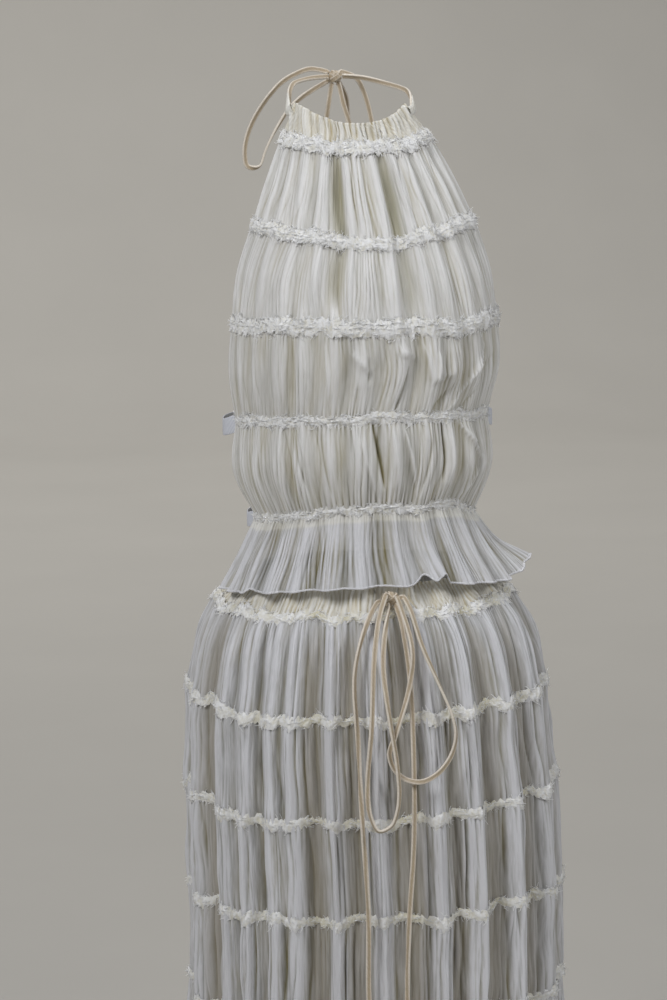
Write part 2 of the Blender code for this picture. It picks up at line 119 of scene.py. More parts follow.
# How far along the wearer's right deep trough lies from its fold of the table, as a share of the
# width, with the place and the spread of the cloth that moves with it
TROUGH_SHIFT = {"frill_1": 0.030, "tier_1": 0.042, "frill_2": 0.056, "tier_2": 0.050}
TROUGH_PLACE = 0.34
TROUGH_SPREAD = 0.09

# The peplum's corner at the wearer's left: from this place on it swings out and up, in
# millimetres, and over the last share of the width its folds die out
CORNER_START = 0.80
CORNER_SOFT = 0.1
CORNER_OUT = {"peplum": 4.0, "hem": 15.0}
CORNER_UP = {"peplum": 5.0, "hem": 20.0}

# Where a fold turns the peplum's hem up. place runs from 0 at the wearer's right edge of the top
# to 1 at the left one, and spread is how wide the lift is.
HemLift = namedtuple("HemLift", "place lift spread")
HEM_LIFTS = (HemLift(0.165, 4, 0.012), HemLift(0.575, 10, 0.02), HemLift(0.618, 11, 0.014))

# Seams that dip or rise, listed: row, place, how far up, and how wide
SeamWave = namedtuple("SeamWave", "row place up spread")
SEAM_WAVES = (
    SeamWave("frill_2", 0.50, -6, 0.10),
    SeamWave("frill_3", 0.70, -4, 0.10),
    SeamWave("frill_5", 0.72, 7, 0.10),
    SeamWave("frill_5", 0.60, -4, 0.05),
)

# Crumples of the two puffed tiers: a short crest from one spot to another, each spot as place
# across and fraction down the tier; its height and half width in millimetres. Where the height is
# below 0 it is a dent.
Crumple = namedtuple("Crumple", "tier place down to_place to_down height wide")
CRUMPLES = tuple(
    Crumple(*row)
    for row in (
        (3, 0.409, 0.27, 0.462, 0.49, 3.6, 7.0), (3, 0.453, 0.33, 0.455, 0.60, -3.0, 4.5),
        (3, 0.530, 0.27, 0.580, 0.33, 3.8, 6.0), (3, 0.556, 0.42, 0.536, 0.95, -5.0, 5.0),
        (3, 0.603, 0.20, 0.618, 0.56, 2.6, 4.0), (3, 0.616, 0.60, 0.690, 0.52, 4.6, 8.0),
        (3, 0.690, 0.66, 0.640, 0.92, -4.0, 6.0), (3, 0.637, 0.28, 0.640, 0.54, 2.8, 4.0),
        (3, 0.811, 0.22, 0.690, 0.95, 3.4, 5.0), (3, 0.840, 0.35, 0.735, 0.95, -3.2, 4.5),
        (3, 0.430, 0.62, 0.428, 0.97, -2.6, 4.0), (3, 0.340, 0.15, 0.355, 0.75, 1.8, 5.0),
        (4, 0.478, 0.05, 0.508, 0.76, -5.2, 5.0), (4, 0.445, 0.20, 0.490, 0.88, 2.6, 9.0),
        (4, 0.527, 0.10, 0.550, 0.85, 2.6, 4.5), (4, 0.565, 0.12, 0.598, 0.74, 4.2, 6.0),
        (4, 0.618, 0.85, 0.640, 0.25, -3.4, 6.0), (4, 0.676, 0.01, 0.680, 0.74, -4.4, 4.0),
        (4, 0.700, 0.10, 0.705, 0.80, 2.4, 8.0), (4, 0.725, 0.04, 0.830, 0.46, 4.6, 6.0),
        (4, 0.835, 0.46, 0.770, 0.90, 3.0, 7.0), (4, 0.264, 0.06, 0.300, 0.78, -2.4, 4.0),
        (4, 0.338, 0.10, 0.358, 0.80, -2.2, 4.0),
    )
)

# Back straps: the row whose edges each one joins, how deep its oval is behind and how far out
# from it the strap lies, its top over the row, its drop behind and its width, in millimetres
Strap = namedtuple("Strap", "name row back_depth body_out top drop width")
STRAPS = (
    Strap("upper", "frill_4", 92, 12, 4, 6, 17),
    Strap("lower", "frill_5", 84, 7, 4, 3, 15),
)
# Share of a strap's length over which it rises from the edge of the top
STRAP_RAMP = 0.04
STRAP_HALF_THICKNESS = 0.75

# Heights of the bodice's frills from the top down, and of the skirt's, against the common one,
# and how far a frill stands out at its middle line, in millimetres
BODICE_FRILL_HEIGHTS = (1.35, 1.25, 1.5, 1.1, 1.05)
SKIRT_FRILL_HEIGHT = 1.15
FRILL_STAND = 1.8

# Thicknesses, heights and gaps in millimetres
NECK_CASING = 4.0
WAIST_CASING = 2.6
CASING_TIP_LENGTH = 36.0
LINING_BAND_HEIGHT = 14.0
SEAM_GAP = 0.3
CLOTH = 1.2

# Shares of a panel's width that are turned under at each side
TURNED_TIER_EDGE = 0.022
TURNED_PEPLUM_EDGE = 0.012

# Columns across and rows down of the cloth's grids
TIER_GRID = (640, 31)
PEPLUM_GRID = (700, 27)
SKIRT_GRID = (1250, 19)
LAST_SKIRT_TIER_ROWS = 31

# Where painted shade marks a single layer of the peplum beside its middle fold, standing for the
# shaded inside behind it, and how far to each side
PEPLUM_DARK_PLACE = 0.535
PEPLUM_DARK_SPREAD = 0.03

# Middles and half sizes of the two knots, and the cord's width, steps and gaps, in millimetres
NECK_KNOT = (-12.0, 66.0, 22.0)
NECK_KNOT_SIZE = (8.0, 6.5, 7.0)
WAIST_KNOT = (5.0, -107.0, -484.0)
WAIST_KNOT_SIZE = (11.0, 7.5, 8.5)
CORD_DIAMETER = 5.0
CORD_STEP = 3.2 * CORD_DIAMETER
CORD_GAP = 0.4
CORD_LEAD = 4.0
CORD_FINE_STEP = 1.8
# The drawstring's distances out from the skirt's crests: its tails, and its upper and lower loop
TAIL_LIFT = 9.5
LOOP_LIFTS = (15.5, 22.0)
# The two rings that close a swept end: how far out, and the share of the section that is left
CAP_RINGS = ((0.7, 0.03), (0.5, 0.7))


def linear(code):
    """An sRGB hex colour such as #F2F0E6 as linear red, green, blue and alpha."""
    parts = [int(code[i : i + 2], 16) / 255 for i in (1, 3, 5)]
    curve = [c / 12.92 if c <= 0.04045 else ((c + 0.055) / 1.055) ** 2.4 for c in parts]
    return (*curve, 1.0)


# Noise and pleats, all as whole arrays


def scatter(cell, seed):
    """An even random value from 0 to 1 for each whole number: the fraction of a large sine."""
    return np.abs(np.sin(np.asarray(cell, float) * 12.9898 + seed * 78.233) * 43758.5453) % 1.0


def noise(x, y, seed):
    """Smooth value noise from 0 to 1: random corners of a unit lattice, blended by 3t^2-2t^3."""
    x, y = np.broadcast_arrays(np.asarray(x, float), np.asarray(y, float))
    i, j = np.floor(x), np.floor(y)
    s, t = x - i, y - j
    s, t = s * s * (3 - 2 * s), t * t * (3 - 2 * t)

    def corner(di, dj):
        return scatter((i + di) + (j + dj) * 57.31, seed)

    low = corner(0, 0) * (1 - s) + corner(1, 0) * s
    high = corner(0, 1) * (1 - s) + corner(1, 1) * s
    return low * (1 - t) + high * t


def pleats(run, down, spacing, seed, wander=0.5, sharp=0.6):
    """Uneven ridges from 0 to 1 along run in millimetres, with sharp creases between them.
    A ridge is (1 - (2f - 1)^2)^sharp over its width, which is 0.5 to 1.5 spacings. Its line
    wanders and its height changes down the cloth, so that some die out. down is in millimetres."""
    run, down = np.broadcast_arrays(np.asarray(run, float), np.asarray(down, float))
    count = int(run.max() / spacing) + 8
    widths = spacing * (0.5 + scatter(np.arange(count), seed))
    edges = np.cumsum(widths) - 3 * spacing
    drift = noise(run / (4 * spacing), down / 42, seed) - 0.5
    moved = run + 2 * spacing * wander * drift
    k = np.clip(np.searchsorted(edges, moved, side="right") - 1, 0, count - 2)
    f = np.clip((moved - edges[k]) / (edges[k + 1] - edges[k]), 0, 1)
    ridge = np.clip(1 - (2 * f - 1) ** 2, 0, 1) ** sharp
    tall = 0.25 + 0.75 * noise(k * 3.77 + 0.5, down / 34 + 9 * scatter(k, seed + 2), seed + 1)
    return tall * ridge


def eased(values, knots, at):
    """Cubic curves through rows of values at the knots: Hermite, with slopes from neighbours."""
    values, knots = np.asarray(values, float), np.asarray(knots, float)
    slopes = np.gradient(values, knots, axis=0)
    i = np.clip(np.searchsorted(knots, at, side="right") - 1, 0, len(knots) - 2)
    wide = knots[i + 1] - knots[i]
    s = (at - knots[i]) / wide
    shape = (-1,) + (1,) * (values.ndim - 1)
    s, wide = s.reshape(shape), wide.reshape(shape)
    start = (2 * s**3 - 3 * s**2 + 1) * values[i] + (s**3 - 2 * s**2 + s) * wide * slopes[i]
    end = (3 * s**2 - 2 * s**3) * values[i + 1] + (s**3 - s**2) * wide * slopes[i + 1]
    return start + end


def unit(vectors):
    """Vectors over their lengths."""
    return vectors / np.linalg.norm(vectors, axis=-1, keepdims=True)


def square_to(tangent, vectors):
    """Unit vectors square to the tangents: the vectors less their part along them."""
    return unit(vectors - tangent * (vectors * tangent).sum(axis=-1, keepdims=True))


# Forms of the two garments


def outline(angle, half_width, front_depth, back_depth):
    """Superellipse points and outward normals at angles from centre front:
    x = w sin^(2/p), y = -d cos^(2/p), each with its own sign."""
    sine, cosine = np.sin(angle), np.cos(angle)
    depth = np.where(cosine >= 0, front_depth, back_depth)
    x = half_width * np.sign(sine) * np.abs(sine) ** (2 / OUTLINE_POWER)
    y = -depth * np.sign(cosine) * np.abs(cosine) ** (2 / OUTLINE_POWER)
    nx, ny = sine / half_width, -cosine / depth
    size = np.hypot(nx, ny)
    return x, y, nx / size, ny / size


def row_height(angle, side_z, front_z):
    """A row's height: side_z at the sides, going to front_z by the cosine squared."""
    return side_z + (front_z - side_z) * np.clip(np.cos(angle), 0, None) ** 2


def trough(place, edges, shares, wide):
    """How deep in its fold's trough each place is: share times h once a fold, where h is
    0.5 - 0.5 cos, or its root in a trough of a share over wide, which has a wide floor."""
    k = np.clip(np.searchsorted(edges, place, side="right") - 1, 0, len(shares) - 1)
    f = (place - edges[k]) / (edges[k + 1] - edges[k])
    share = np.asarray(shares)[k]
    return share * (0.5 - 0.5 * np.cos(TAU * f)) ** np.where(share > wide, 0.5, 1.0)


def seam_wave(name, place, seed, size=1.0):
    """How far a seam strays up from its row: small noise, and the dips and rises of the table."""
    up = 3.4 * (noise(place * 14, 0, seed) - 0.5) + 2.2 * (noise(place * 45, 0, seed + 1) - 0.5)
    up = size * up
    for wave in SEAM_WAVES:
        if wave.row == name:
            up = up + wave.up * np.exp(-(((place - wave.place) / wave.spread) ** 2))
    return up


def top_row(name, place):
    """Points, outward normals and trough depths of a row of the top, at places from 0 to 1.
    Depths are in millimetres."""
    row = TOP_ROWS[name]
    widths = np.array([fold.width for fold in TOP_FOLDS])
    edges = np.concatenate([[0.0], np.cumsum(widths) / widths.sum()])
    level = list(TOP_ROWS).index(name)
    kind = "upper" if level < 6 else "lower" if level < 10 else "flare"
    shift = TROUGH_SHIFT.get(name, 0.0)
    moved = place - shift * np.exp(-(((place - TROUGH_PLACE - shift) / TROUGH_SPREAD) ** 2))
    into = trough(moved, edges, [getattr(fold, kind) for fold in TOP_FOLDS], TOP_WIDE_SHARE)
    if name in CORNER_OUT:
        into = into * np.clip((1 - place) / CORNER_SOFT, 0, 1)
    angle = np.radians(place * (row.right_edge + row.left_edge) - row.right_edge)
    x, y, nx, ny = outline(angle, row.half_width, row.depth, row.depth)
    x, y = x - nx * into * row.fold + row.middle, y - ny * into * row.fold
    z = row_height(angle, row.side_z, row.front_z)
    if name in CORNER_OUT:
        swing = np.clip((place - CORNER_START) / (1 - CORNER_START), 0, 1) ** 2
        x, y = x + nx * swing * CORNER_OUT[name], y + ny * swing * CORNER_OUT[name]
        z = z + swing * CORNER_UP[name]
    if name == "hem":
        for lift in HEM_LIFTS:
            z = z + lift.lift * np.exp(-(((place - lift.place) / lift.spread) ** 2))
    if name.startswith("frill"):
        z = z + seam_wave(name, place, level)
    return np.stack([x, y, z], axis=-1), np.stack([nx, ny, 0 * nx], axis=-1), into * row.fold


def skirt_row(name, place):
    """Points, outward normals and trough depths of a row of the skirt, place 0 to 1 once round
    from centre back."""
    row = SKIRT_ROWS[name]
    crests = [fold.crest for fold in SKIRT_FOLDS]
    edges = (np.array(crests + [crests[0] + 360.0]) - crests[0]) / 360.0
    degrees = place * 360.0 + 180.0
    round_place = ((degrees - crests[0]) / 360.0) % 1.0
    shares = [fold.share for fold in SKIRT_FOLDS]
    into = trough(round_place, edges, shares, SKIRT_WIDE_SHARE)
    angle = np.radians(degrees)
    x, y, nx, ny = outline(angle, row.half_width, row.front_depth, row.back_depth)
    x, y = x - nx * into * row.fold + row.middle, y - ny * into * row.fold
    z = row_height(angle, row.side_z, row.front_z)
    if name.startswith("frill"):
        z = z + seam_wave("", place * 3, 20 + list(SKIRT_ROWS).index(name), 2.2)
    return np.stack([x, y, z], axis=-1), np.stack([nx, ny, 0 * nx], axis=-1), into * row.fold


def loft(row, rows, names, place, down):
    """A stretch through the named rows, eased between them: points, normals, trough depths, and
    the distances across its middle row and down its middle column."""
    made = [row(name, place) for name in names]
    heights = np.array([rows[name].front_z for name in names], float)
    knots = (heights[0] - heights) / (heights[0] - heights[-1])
    points, normals, into = (eased([m[i] for m in made], knots, down) for i in range(3))
    run, deep = run_of(points[len(points) // 2]), run_of(points[:, len(place) // 2])
    return points, unit(normals), into, run, deep


# Meshes

Surface = namedtuple("Surface", "points quads values")


def grid(points, around=False, **values):
    """A surface over a grid of points, rows down and columns across, its columns joined round if
    around. Each value is one number for each point."""
    rows, columns = points.shape[:2]
    index = np.arange(rows * columns).reshape(rows, columns)
    if around:
        index = np.column_stack([index, index[:, :1]])
    quads = np.stack([index[:-1, :-1], index[1:, :-1], index[1:, 1:], index[:-1, 1:]], axis=-1)
    flat = {key: np.broadcast_to(value, (rows, columns)).ravel() for key, value in values.items()}
    return Surface(points.reshape(-1, 3), quads.reshape(-1, 4), flat)


def joined(surfaces):
    """Several surfaces as one, with the values that they share."""
    starts = np.cumsum([0] + [len(surface.points) for surface in surfaces])
    points = np.concatenate([surface.points for surface in surfaces])
    quads = np.concatenate([surface.quads + start for surface, start in zip(surfaces, starts)])
    keys = surfaces[0].values
    values = {key: np.concatenate([surface.values[key] for surface in surfaces]) for key in keys}
    return Surface(points, quads, values)


def add_piece(name, surface, material, nodes):
    """A piece at the origin from a surface in millimetres. It rides on the body, stands for its
    nodes, and keeps the surface's values as attributes."""
    mesh = bpy.data.meshes.new(name)
    mesh.vertices.add(len(surface.points))
    mesh.vertices.foreach_set("co", (surface.points * MM).astype(np.float32).ravel())
    mesh.loops.add(len(surface.quads) * 4)
    mesh.loops.foreach_set("vertex_index", surface.quads.astype(np.int32).ravel())
    mesh.polygons.add(len(surface.quads))
    mesh.polygons.foreach_set("loop_start", np.arange(len(surface.quads), dtype=np.int32) * 4)
    mesh.update(calc_edges=True)
    mesh.polygons.foreach_set("use_smooth", np.ones(len(surface.quads), bool))
    for key, values in surface.values.items():
        layer = mesh.attributes.new(key, "FLOAT", "POINT")
        layer.data.foreach_set("value", values.astype(np.float32))
    mesh.materials.append(material)
    obj = bpy.data.objects.new(name, mesh)
    bpy.context.scene.collection.objects.link(obj)
    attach(obj, "root")
    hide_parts(*nodes)
    return obj


def run_of(points):
    """Distance in millimetres along a line of points."""
    step = np.linalg.norm(np.diff(points, axis=0), axis=1)
    return np.concatenate([[0.0], np.cumsum(step)])


def swept(path, across, section, caps=True):
    """A section carried along a path: path + a * across + b * (tangent x across), for section
    points (a, b) in millimetres. across is one vector, or one for each point of the path. The
    ends close by shrinking the section to its middle."""
    tangent = unit(np.gradient(path, axis=0))
    across = square_to(tangent, np.asarray(across, float))
    other = np.cross(tangent, across)
    a, b = section.T
    rings = path[:, None] + a[None, :, None] * across[:, None] + b[None, :, None] * other[:, None]
    if caps:
        start, end = (
            [path[i] + way * out + (rings[i] - path[i]) * left for out, left in CAP_RINGS]
            for i, way in ((0, -tangent[0]), (-1, tangent[-1]))
        )
        rings = np.concatenate([start, rings, end[::-1]])
    return rings


def capped(run):
    """Distances along a swept path, with those of its two end rings at both ends, as a column."""
    return np.concatenate([[0, 0], run, [run[-1]] * 2])[:, None]


# Materials


def add_node(tree, kind, inputs=None, **settings):
    """Adds a node with its settings. inputs holds values, or sockets to link, by input name."""
    node = tree.nodes.new(kind)
    for key, value in settings.items():
        setattr(node, key, value)
    for key, value in (inputs or {}).items():
        if isinstance(value, bpy.types.NodeSocket):
            tree.links.new(value, node.inputs[key])
        else:
            node.inputs[key].default_value = value
    return node


def new_material(name):
    """An empty node material and its tree."""
    material = bpy.data.materials.new(name)
    material.use_nodes = True
    material.node_tree.nodes.clear()
    return material, material.node_tree


def finish_material(material, tree, viewport, inputs, bump=()):
    """Ends a material: the shader with its inputs, and where there is a bump, its height,
    strength and distance in metres. The viewport gets one colour."""
    if bump:
        relief = dict(zip(("Height", "Strength", "Distance"), bump))
        inputs["Normal"] = add_node(tree, "ShaderNodeBump", relief).outputs["Normal"]
    shader = add_node(tree, "ShaderNodeBsdfPrincipled", inputs)
    add_node(tree, "ShaderNodeOutputMaterial", {"Surface": shader.outputs["BSDF"]})
    material.diffuse_color = viewport
    return material


def shaded(tree, fold, patterns, span, past, light, shade):
    """How deep in painted shade each point is, and its colour. The fold, plus each pattern times
    its strength, goes over span from light to the painted shade, and then on past it, to past times
    as far."""
    for pattern, strength in patterns:
        parts = {0: pattern, 1: strength, 2: fold}
        fold = add_node(tree, "ShaderNodeMath", parts, operation="MULTIPLY_ADD").outputs["Value"]
    end = span[0] + past * (span[1] - span[0])
    reach = {"Value": fold, "From Min": span[0], "From Max": end, "To Max": past}
    depth = add_node(tree, "ShaderNodeMapRange", reach).outputs["Result"]
    parts = {"Factor": depth, 6: light, 7: shade}
    mix = add_node(tree, "ShaderNodeMix", parts, data_type="RGBA", clamp_factor=False)
    return depth, mix.outputs[2]


# What the peplum's cloth is tinted towards where the lining's edge lies behind it
LINING_TINT = "#FFFCF0"


def crinkled_cloth(name, crest, crease, recess, clear, span, pleat_line_shade):
    """Crinkle chiffon: fine, matt, hard-twisted yarn, steamed into pleats. The eye gets pale
    crests, painted grey shade in the creases and along fine lines down the cloth, painted olive
    shade on the floors of the main folds, and a little see-through. clear holds the alpha of crests
    and of creases, span the tones where painted crease shade starts and ends, and pleat_line_shade
    how strong the painted shade of the fine lines is."""
    material, tree = new_material(name)
    run, down, fold, deep, lining = (
        add_node(tree, "ShaderNodeAttribute", attribute_name=key).outputs["Fac"]
        for key in ("run", "down", "fold", "recess", "lining")
    )
    at = add_node(tree, "ShaderNodeCombineXYZ", {"X": run, "Y": down}).outputs["Vector"]
    # Three patterns by their size across and down in millimetres, detail and roughness: pleat
    # lines, which carry painted crease shade as well as the bump; the weave's slubs, drawn coarser
    # than the real yarn, which is finer than the render can show; and bands where the cloth lies
    # double
    patterns = []
    for wide, long, detail, rough in ((2.6, 30, 2, 0.6), (1.3, 0.9, 1, 0.5), (20, 90, 1, 0.5)):
        sized = {"Vector": at, "Scale": (1 / wide, 1 / long, 1)}
        spot = add_node(tree, "ShaderNodeMapping", sized).outputs["Vector"]
        made = {"Vector": spot, "Scale": 1.0, "Detail": detail, "Roughness": rough}
        cloud = add_node(tree, "ShaderNodeTexNoise", made, noise_dimensions="2D")
        patterns.append(cloud.outputs["Fac"])
    lines, slubs, bands = patterns
    # Slow change of tone over about 70 mm
    place = add_node(tree, "ShaderNodeTexCoord").outputs["Object"]
    slow = add_node(
        tree, "ShaderNodeTexNoise", {"Vector": place, "Scale": 14.0, "Detail": 2.0}
    ).outputs["Fac"]
    # Where the cloth lies double, the painted crease shade is warmer
    double = add_node(
        tree, "ShaderNodeMapRange", {"Value": bands, "From Min": 0.4, "From Max": 0.65}
    ).outputs["Result"]
    warm = [c * tint for c, tint in zip(crease, (1.08, 1.03, 0.88, 1.0))]
    crease = add_node(
        tree, "ShaderNodeMix", {"Factor": double, 6: crease, 7: warm}, data_type="RGBA"
    ).outputs[2]
    # Painted shade: the fold attribute, with the pleat lines and the slow change of tone, turns the
    # crest colour towards the crease colour
    tones = ((lines, pleat_line_shade), (slow, 0.22))
    depth, colour = shaded(tree, fold, tones, span, 1.4, crest, crease)
    # Painted olive shade on the floors of the main folds, by the recess attribute
    reach = {"From Min": 0.35, "From Max": 0.9, "To Max": 0.8}
    floor = add_node(tree, "ShaderNodeMapRange", {"Value": deep, **reach}).outputs["Result"]
    # A lining behind the cloth warms and lightens it. Pieces without the attribute have none.
    for share, shade in ((floor, recess), (lining, linear(LINING_TINT))):
        parts = {"Factor": share, 6: colour, 7: shade}
        colour = add_node(tree, "ShaderNodeMix", parts, data_type="RGBA").outputs[2]
    alpha = add_node(
        tree, "ShaderNodeMapRange", {"Value": depth, "To Min": clear[0], "To Max": clear[1]}
    ).outputs["Result"]
    height = add_node(
        tree, "ShaderNodeMath", {0: slubs, 1: 0.25, 2: lines}, operation="MULTIPLY_ADD"
    ).outputs["Value"]
    inputs = {
        "Base Color": colour,
        "Roughness": 0.78,
        "IOR": 1.46,
        "Specular IOR Level": 0.35,
        "Sheen Weight": 0.12,
        "Sheen Roughness": 0.5,
        "Alpha": alpha,
    }
    return finish_material(material, tree, crest, inputs, (height, 0.7, 0.0012))


def frayed_chiffon(name, light, shade):
    """The same chiffon torn into strips and left raw: bright loose yarn, with warmer painted shade
    in its dents and where it sinks into a trough."""
    material, tree = new_material(name)
    fold = add_node(tree, "ShaderNodeAttribute", attribute_name="fold").outputs["Fac"]
    place = add_node(tree, "ShaderNodeTexCoord").outputs["Object"]
    # Clumps of yarn about 2 mm across
    clumps = add_node(
        tree,
        "ShaderNodeTexNoise",
        {"Vector": place, "Scale": 480.0, "Detail": 2.0, "Roughness": 0.7},
    ).outputs["Fac"]
    # Painted shade: a frill that is sunk in a fold goes on past its shade colour, darker still
    colour = shaded(tree, fold, ((clumps, 0.7),), (0.35, 1.35), 1.8, light, shade)[1]
    inputs = {
        "Base Color": colour,
        "Roughness": 0.95,
        "Specular IOR Level": 0.3,
        "Sheen Weight": 0.2,
    }
    return finish_material(material, tree, light, inputs, (clumps, 0.8, 0.0015))


def satin_cord(name, light, shade):
    """Rouleau cord: a bias strip of satin turned into a flat tube. The eye gets a soft gloss,
    slanting fine ridges and brighter rolled edges against painted shade down the middle."""
    material, tree = new_material(name)
    run, side, fold = (
        add_node(tree, "ShaderNodeAttribute", attribute_name=key).outputs["Fac"]
        for key in ("run", "down", "fold")
    )
    # Bias grain: slanting ridges 1.4 mm apart
    slant = add_node(
        tree, "ShaderNodeMath", {0: side, 1: 0.8, 2: run}, operation="MULTIPLY_ADD"
    ).outputs["Value"]
    at = add_node(tree, "ShaderNodeCombineXYZ", {"X": slant, "Y": side}).outputs["Vector"]
    ribs = add_node(tree, "ShaderNodeMapping", {"Vector": at, "Scale": (1 / 1.4, 1 / 6, 1)})
    grain = add_node(
        tree,
        "ShaderNodeTexNoise",
        {"Vector": ribs.outputs["Vector"], "Scale": 1.0, "Detail": 2.0},
        noise_dimensions="2D",
    ).outputs["Fac"]
    colour = shaded(tree, fold, ((grain, 0.6),), (0.25, 1.2), 1.0, light, shade)[1]
    inputs = {"Base Color": colour, "Roughness": 0.42, "IOR": 1.52, "Sheen Weight": 0.1}
    return finish_material(material, tree, light, inputs, (grain, 0.35, 0.0005))


def ribbed_elastic(name, light, shade):
    """Woven elastic tape: bright covered rubber, with fine ribs across it 1.8 mm apart and painted
    shade between them.
    """
    material, tree = new_material(name)
    run = add_node(tree, "ShaderNodeAttribute", attribute_name="run").outputs["Fac"]
    wave = add_node(
        tree, "ShaderNodeMath", {0: run, 1: TAU / 1.8}, operation="MULTIPLY"
    ).outputs["Value"]
    ribs = add_node(tree, "ShaderNodeMath", {0: wave}, operation="SINE").outputs["Value"]
    height = add_node(
        tree, "ShaderNodeMapRange", {"Value": ribs, "From Min": -1.0, "From Max": 1.0}
    ).outputs["Result"]
    # Painted shade between the ribs, by the ribs' height
    colour = add_node(
        tree, "ShaderNodeMix", {"Factor": height, 6: shade, 7: light}, data_type="RGBA"
    ).outputs[2]
    inputs = {"Base Color": colour, "Roughness": 0.65, "Sheen Weight": 0.05}
    return finish_material(material, tree, light, inputs, (height, 0.6, 0.0004))


def smooth_plaster(name, light):
    """Matt painted floor and backdrop: pale, even, with a faint mottle about 0.4 m across."""
    material, tree = new_material(name)
    place = add_node(tree, "ShaderNodeTexCoord").outputs["Object"]
    mottle = add_node(
        tree, "ShaderNodeTexNoise", {"Vector": place, "Scale": 2.5, "Detail": 3.0}
    ).outputs["Fac"]
    shade = [c * 0.93 for c in light[:3]] + [1.0]
    colour = add_node(
        tree, "ShaderNodeMix", {"Factor": mottle, 6: shade, 7: light}, data_type="RGBA"
    ).outputs[2]
    inputs = {"Base Color": colour, "Roughness": 0.9, "Specular IOR Level": 0.2}
    return finish_material(material, tree, light, inputs)


# Settings that a user would change


def length_setting(name, description, length, shortest, longest):
    """A length property in metres, from shortest to longest."""
    return bpy.props.FloatProperty(
        name=name,
        description=description,
        default=length,
        min=shortest,
        max=longest,
        unit="LENGTH",
    )


class DressSizes(bpy.types.PropertyGroup):
    """Sizes of the crinkle, frills and cords, in metres."""

    crinkle_depth: length_setting(
        "Crinkle depth", "Height of the broad pleats of the top", 0.0034, 0.0, 0.008
    )
    crinkle_width: length_setting(
        "Crinkle width", "Mean width of the broad pleats of the top", 0.0105, 0.004, 0.03
    )
    skirt_fold_depth: length_setting(
        "Skirt fold depth", "Height of the skirt's loose folds", 0.0075, 0.0, 0.012
    )
    skirt_fold_width: length_setting(
        "Skirt fold width", "Mean width of the skirt's loose folds", 0.0195, 0.01, 0.05
    )
    frill_height: length_setting(
        "Frill half height", "How far a frill reaches from its seam", 0.0062, 0.002, 0.012
    )
    cord_width: length_setting(
        "Cord width", "Width of the flat satin cord", 0.0052, 0.003, 0.008
    )


def colour_setting(name, description, code):
    """A colour property that starts from an sRGB hex value."""
    return bpy.props.FloatVectorProperty(
        name=name,
        description=description,
        default=linear(code),
        size=4,
        min=0.0,
        max=1.0,
        subtype="COLOR",
    )


class DressColours(bpy.types.PropertyGroup):
    """Colours of the cloth, frills, cords, straps and floor, and of the painted shade in their
    creases, folds and ribs.
    """

    ivory: colour_setting("Ivory", "Crests of the lined top", "#F4F3F1")
    # Painted shade in the creases of the lined top
    ivory_crease_shade: colour_setting("Ivory crease", "Creases of the lined top", "#B1AEA2")
    # The sheer crest is greyer than the ivory: the cloth with painted shade of the dim inside seen
    # through it
    sheer: colour_setting("Sheer", "Crests of the skirt and peplum", "#E5E5E8")
    # Painted shade in the creases of the skirt and peplum
    sheer_crease_shade: colour_setting("Sheer crease", "Creases of the skirt and peplum", "#A5A49F")
    # Painted olive shade on the floors of the top's deep folds
    ivory_recess_shade: colour_setting("Ivory recess", "Floors of the top's deep folds", "#B2AE98")
    casing: colour_setting("Casing", "Crests of the two casings", "#F3F1EA")
    # Painted shade in the creases of the casings
    casing_crease_shade: colour_setting("Casing crease", "Creases of the two casings", "#C8C1AE")
    # Painted shade on the floors of the skirt's folds and on its sides
    sheer_recess_shade: colour_setting("Sheer recess", "Floors of the skirt's folds", "#A59D8D")
    frill: colour_setting("Frill", "Raw edge of the frills", "#FFFFFF")
    # Painted shade of the frills, in their dents and where they sink into troughs
    frill_shade: colour_setting("Frill shade", "Packed yarn at the seam", "#E6E2D2")
    cord: colour_setting("Cord", "Light edge of the satin cord", "#F1E8DA")
    # Painted shade down the middle of the satin cord
    cord_shade: colour_setting("Cord shade", "Middle of the satin cord", "#B3A083")
    strap: colour_setting("Strap", "Elastic at the back", "#EDEFF5")
    # Painted shade between the elastic's ribs
    strap_shade: colour_setting("Strap shade", "Between the elastic's ribs", "#C9CCD6")
    floor: colour_setting("Floor", "Floor and backdrop", "#C4C1BB")


def make_material(slot):
    """The finish of a slot, made once and then shared."""
    name = FINISHES[slot]
    found = bpy.data.materials.get(name)
    if found:
        return found
    colours = bpy.context.scene.dress_colours
    if slot == "lined_ivory_crinkle":
        shades = (colours.ivory, colours.ivory_crease_shade, colours.ivory_recess_shade)
        return crinkled_cloth(name, *shades, clear=(1, 1), span=(0.5, 1.7), pleat_line_shade=0.75)
    if slot == "gathered_casing":
        shades = (colours.casing, colours.casing_crease_shade, colours.ivory_recess_shade)
        return crinkled_cloth(name, *shades, clear=(1, 1), span=(0.6, 1.7), pleat_line_shade=0.75)
    if slot == "sheer_ivory_crinkle":
        shades = (colours.sheer, colours.sheer_crease_shade, colours.sheer_recess_shade)
        return crinkled_cloth(name, *shades, clear=(0.97, 0.86), span=(0.6, 1.8), pleat_line_shade=1.15)
    if slot == "frayed_frill":
        return frayed_chiffon(name, colours.frill, colours.frill_shade)
    if slot == "satin_cord":
        return satin_cord(name, colours.cord, colours.cord_shade)
    if slot == "strap_elastic":
        return ribbed_elastic(name, colours.strap, colours.strap_shade)
    return smooth_plaster(name, colours.floor)


FINISHES = {
    "lined_ivory_crinkle": "lined_crinkle_chiffon",
    "sheer_ivory_crinkle": "sheer_crinkle_chiffon",
    "gathered_casing": "gathered_chiffon",
    "frayed_frill": "raw_edge_chiffon",
    "satin_cord": "satin_rouleau",
    "strap_elastic": "ribbed_elastic_tape",
    "studio_floor": "matt_plaster",
}


# Cords


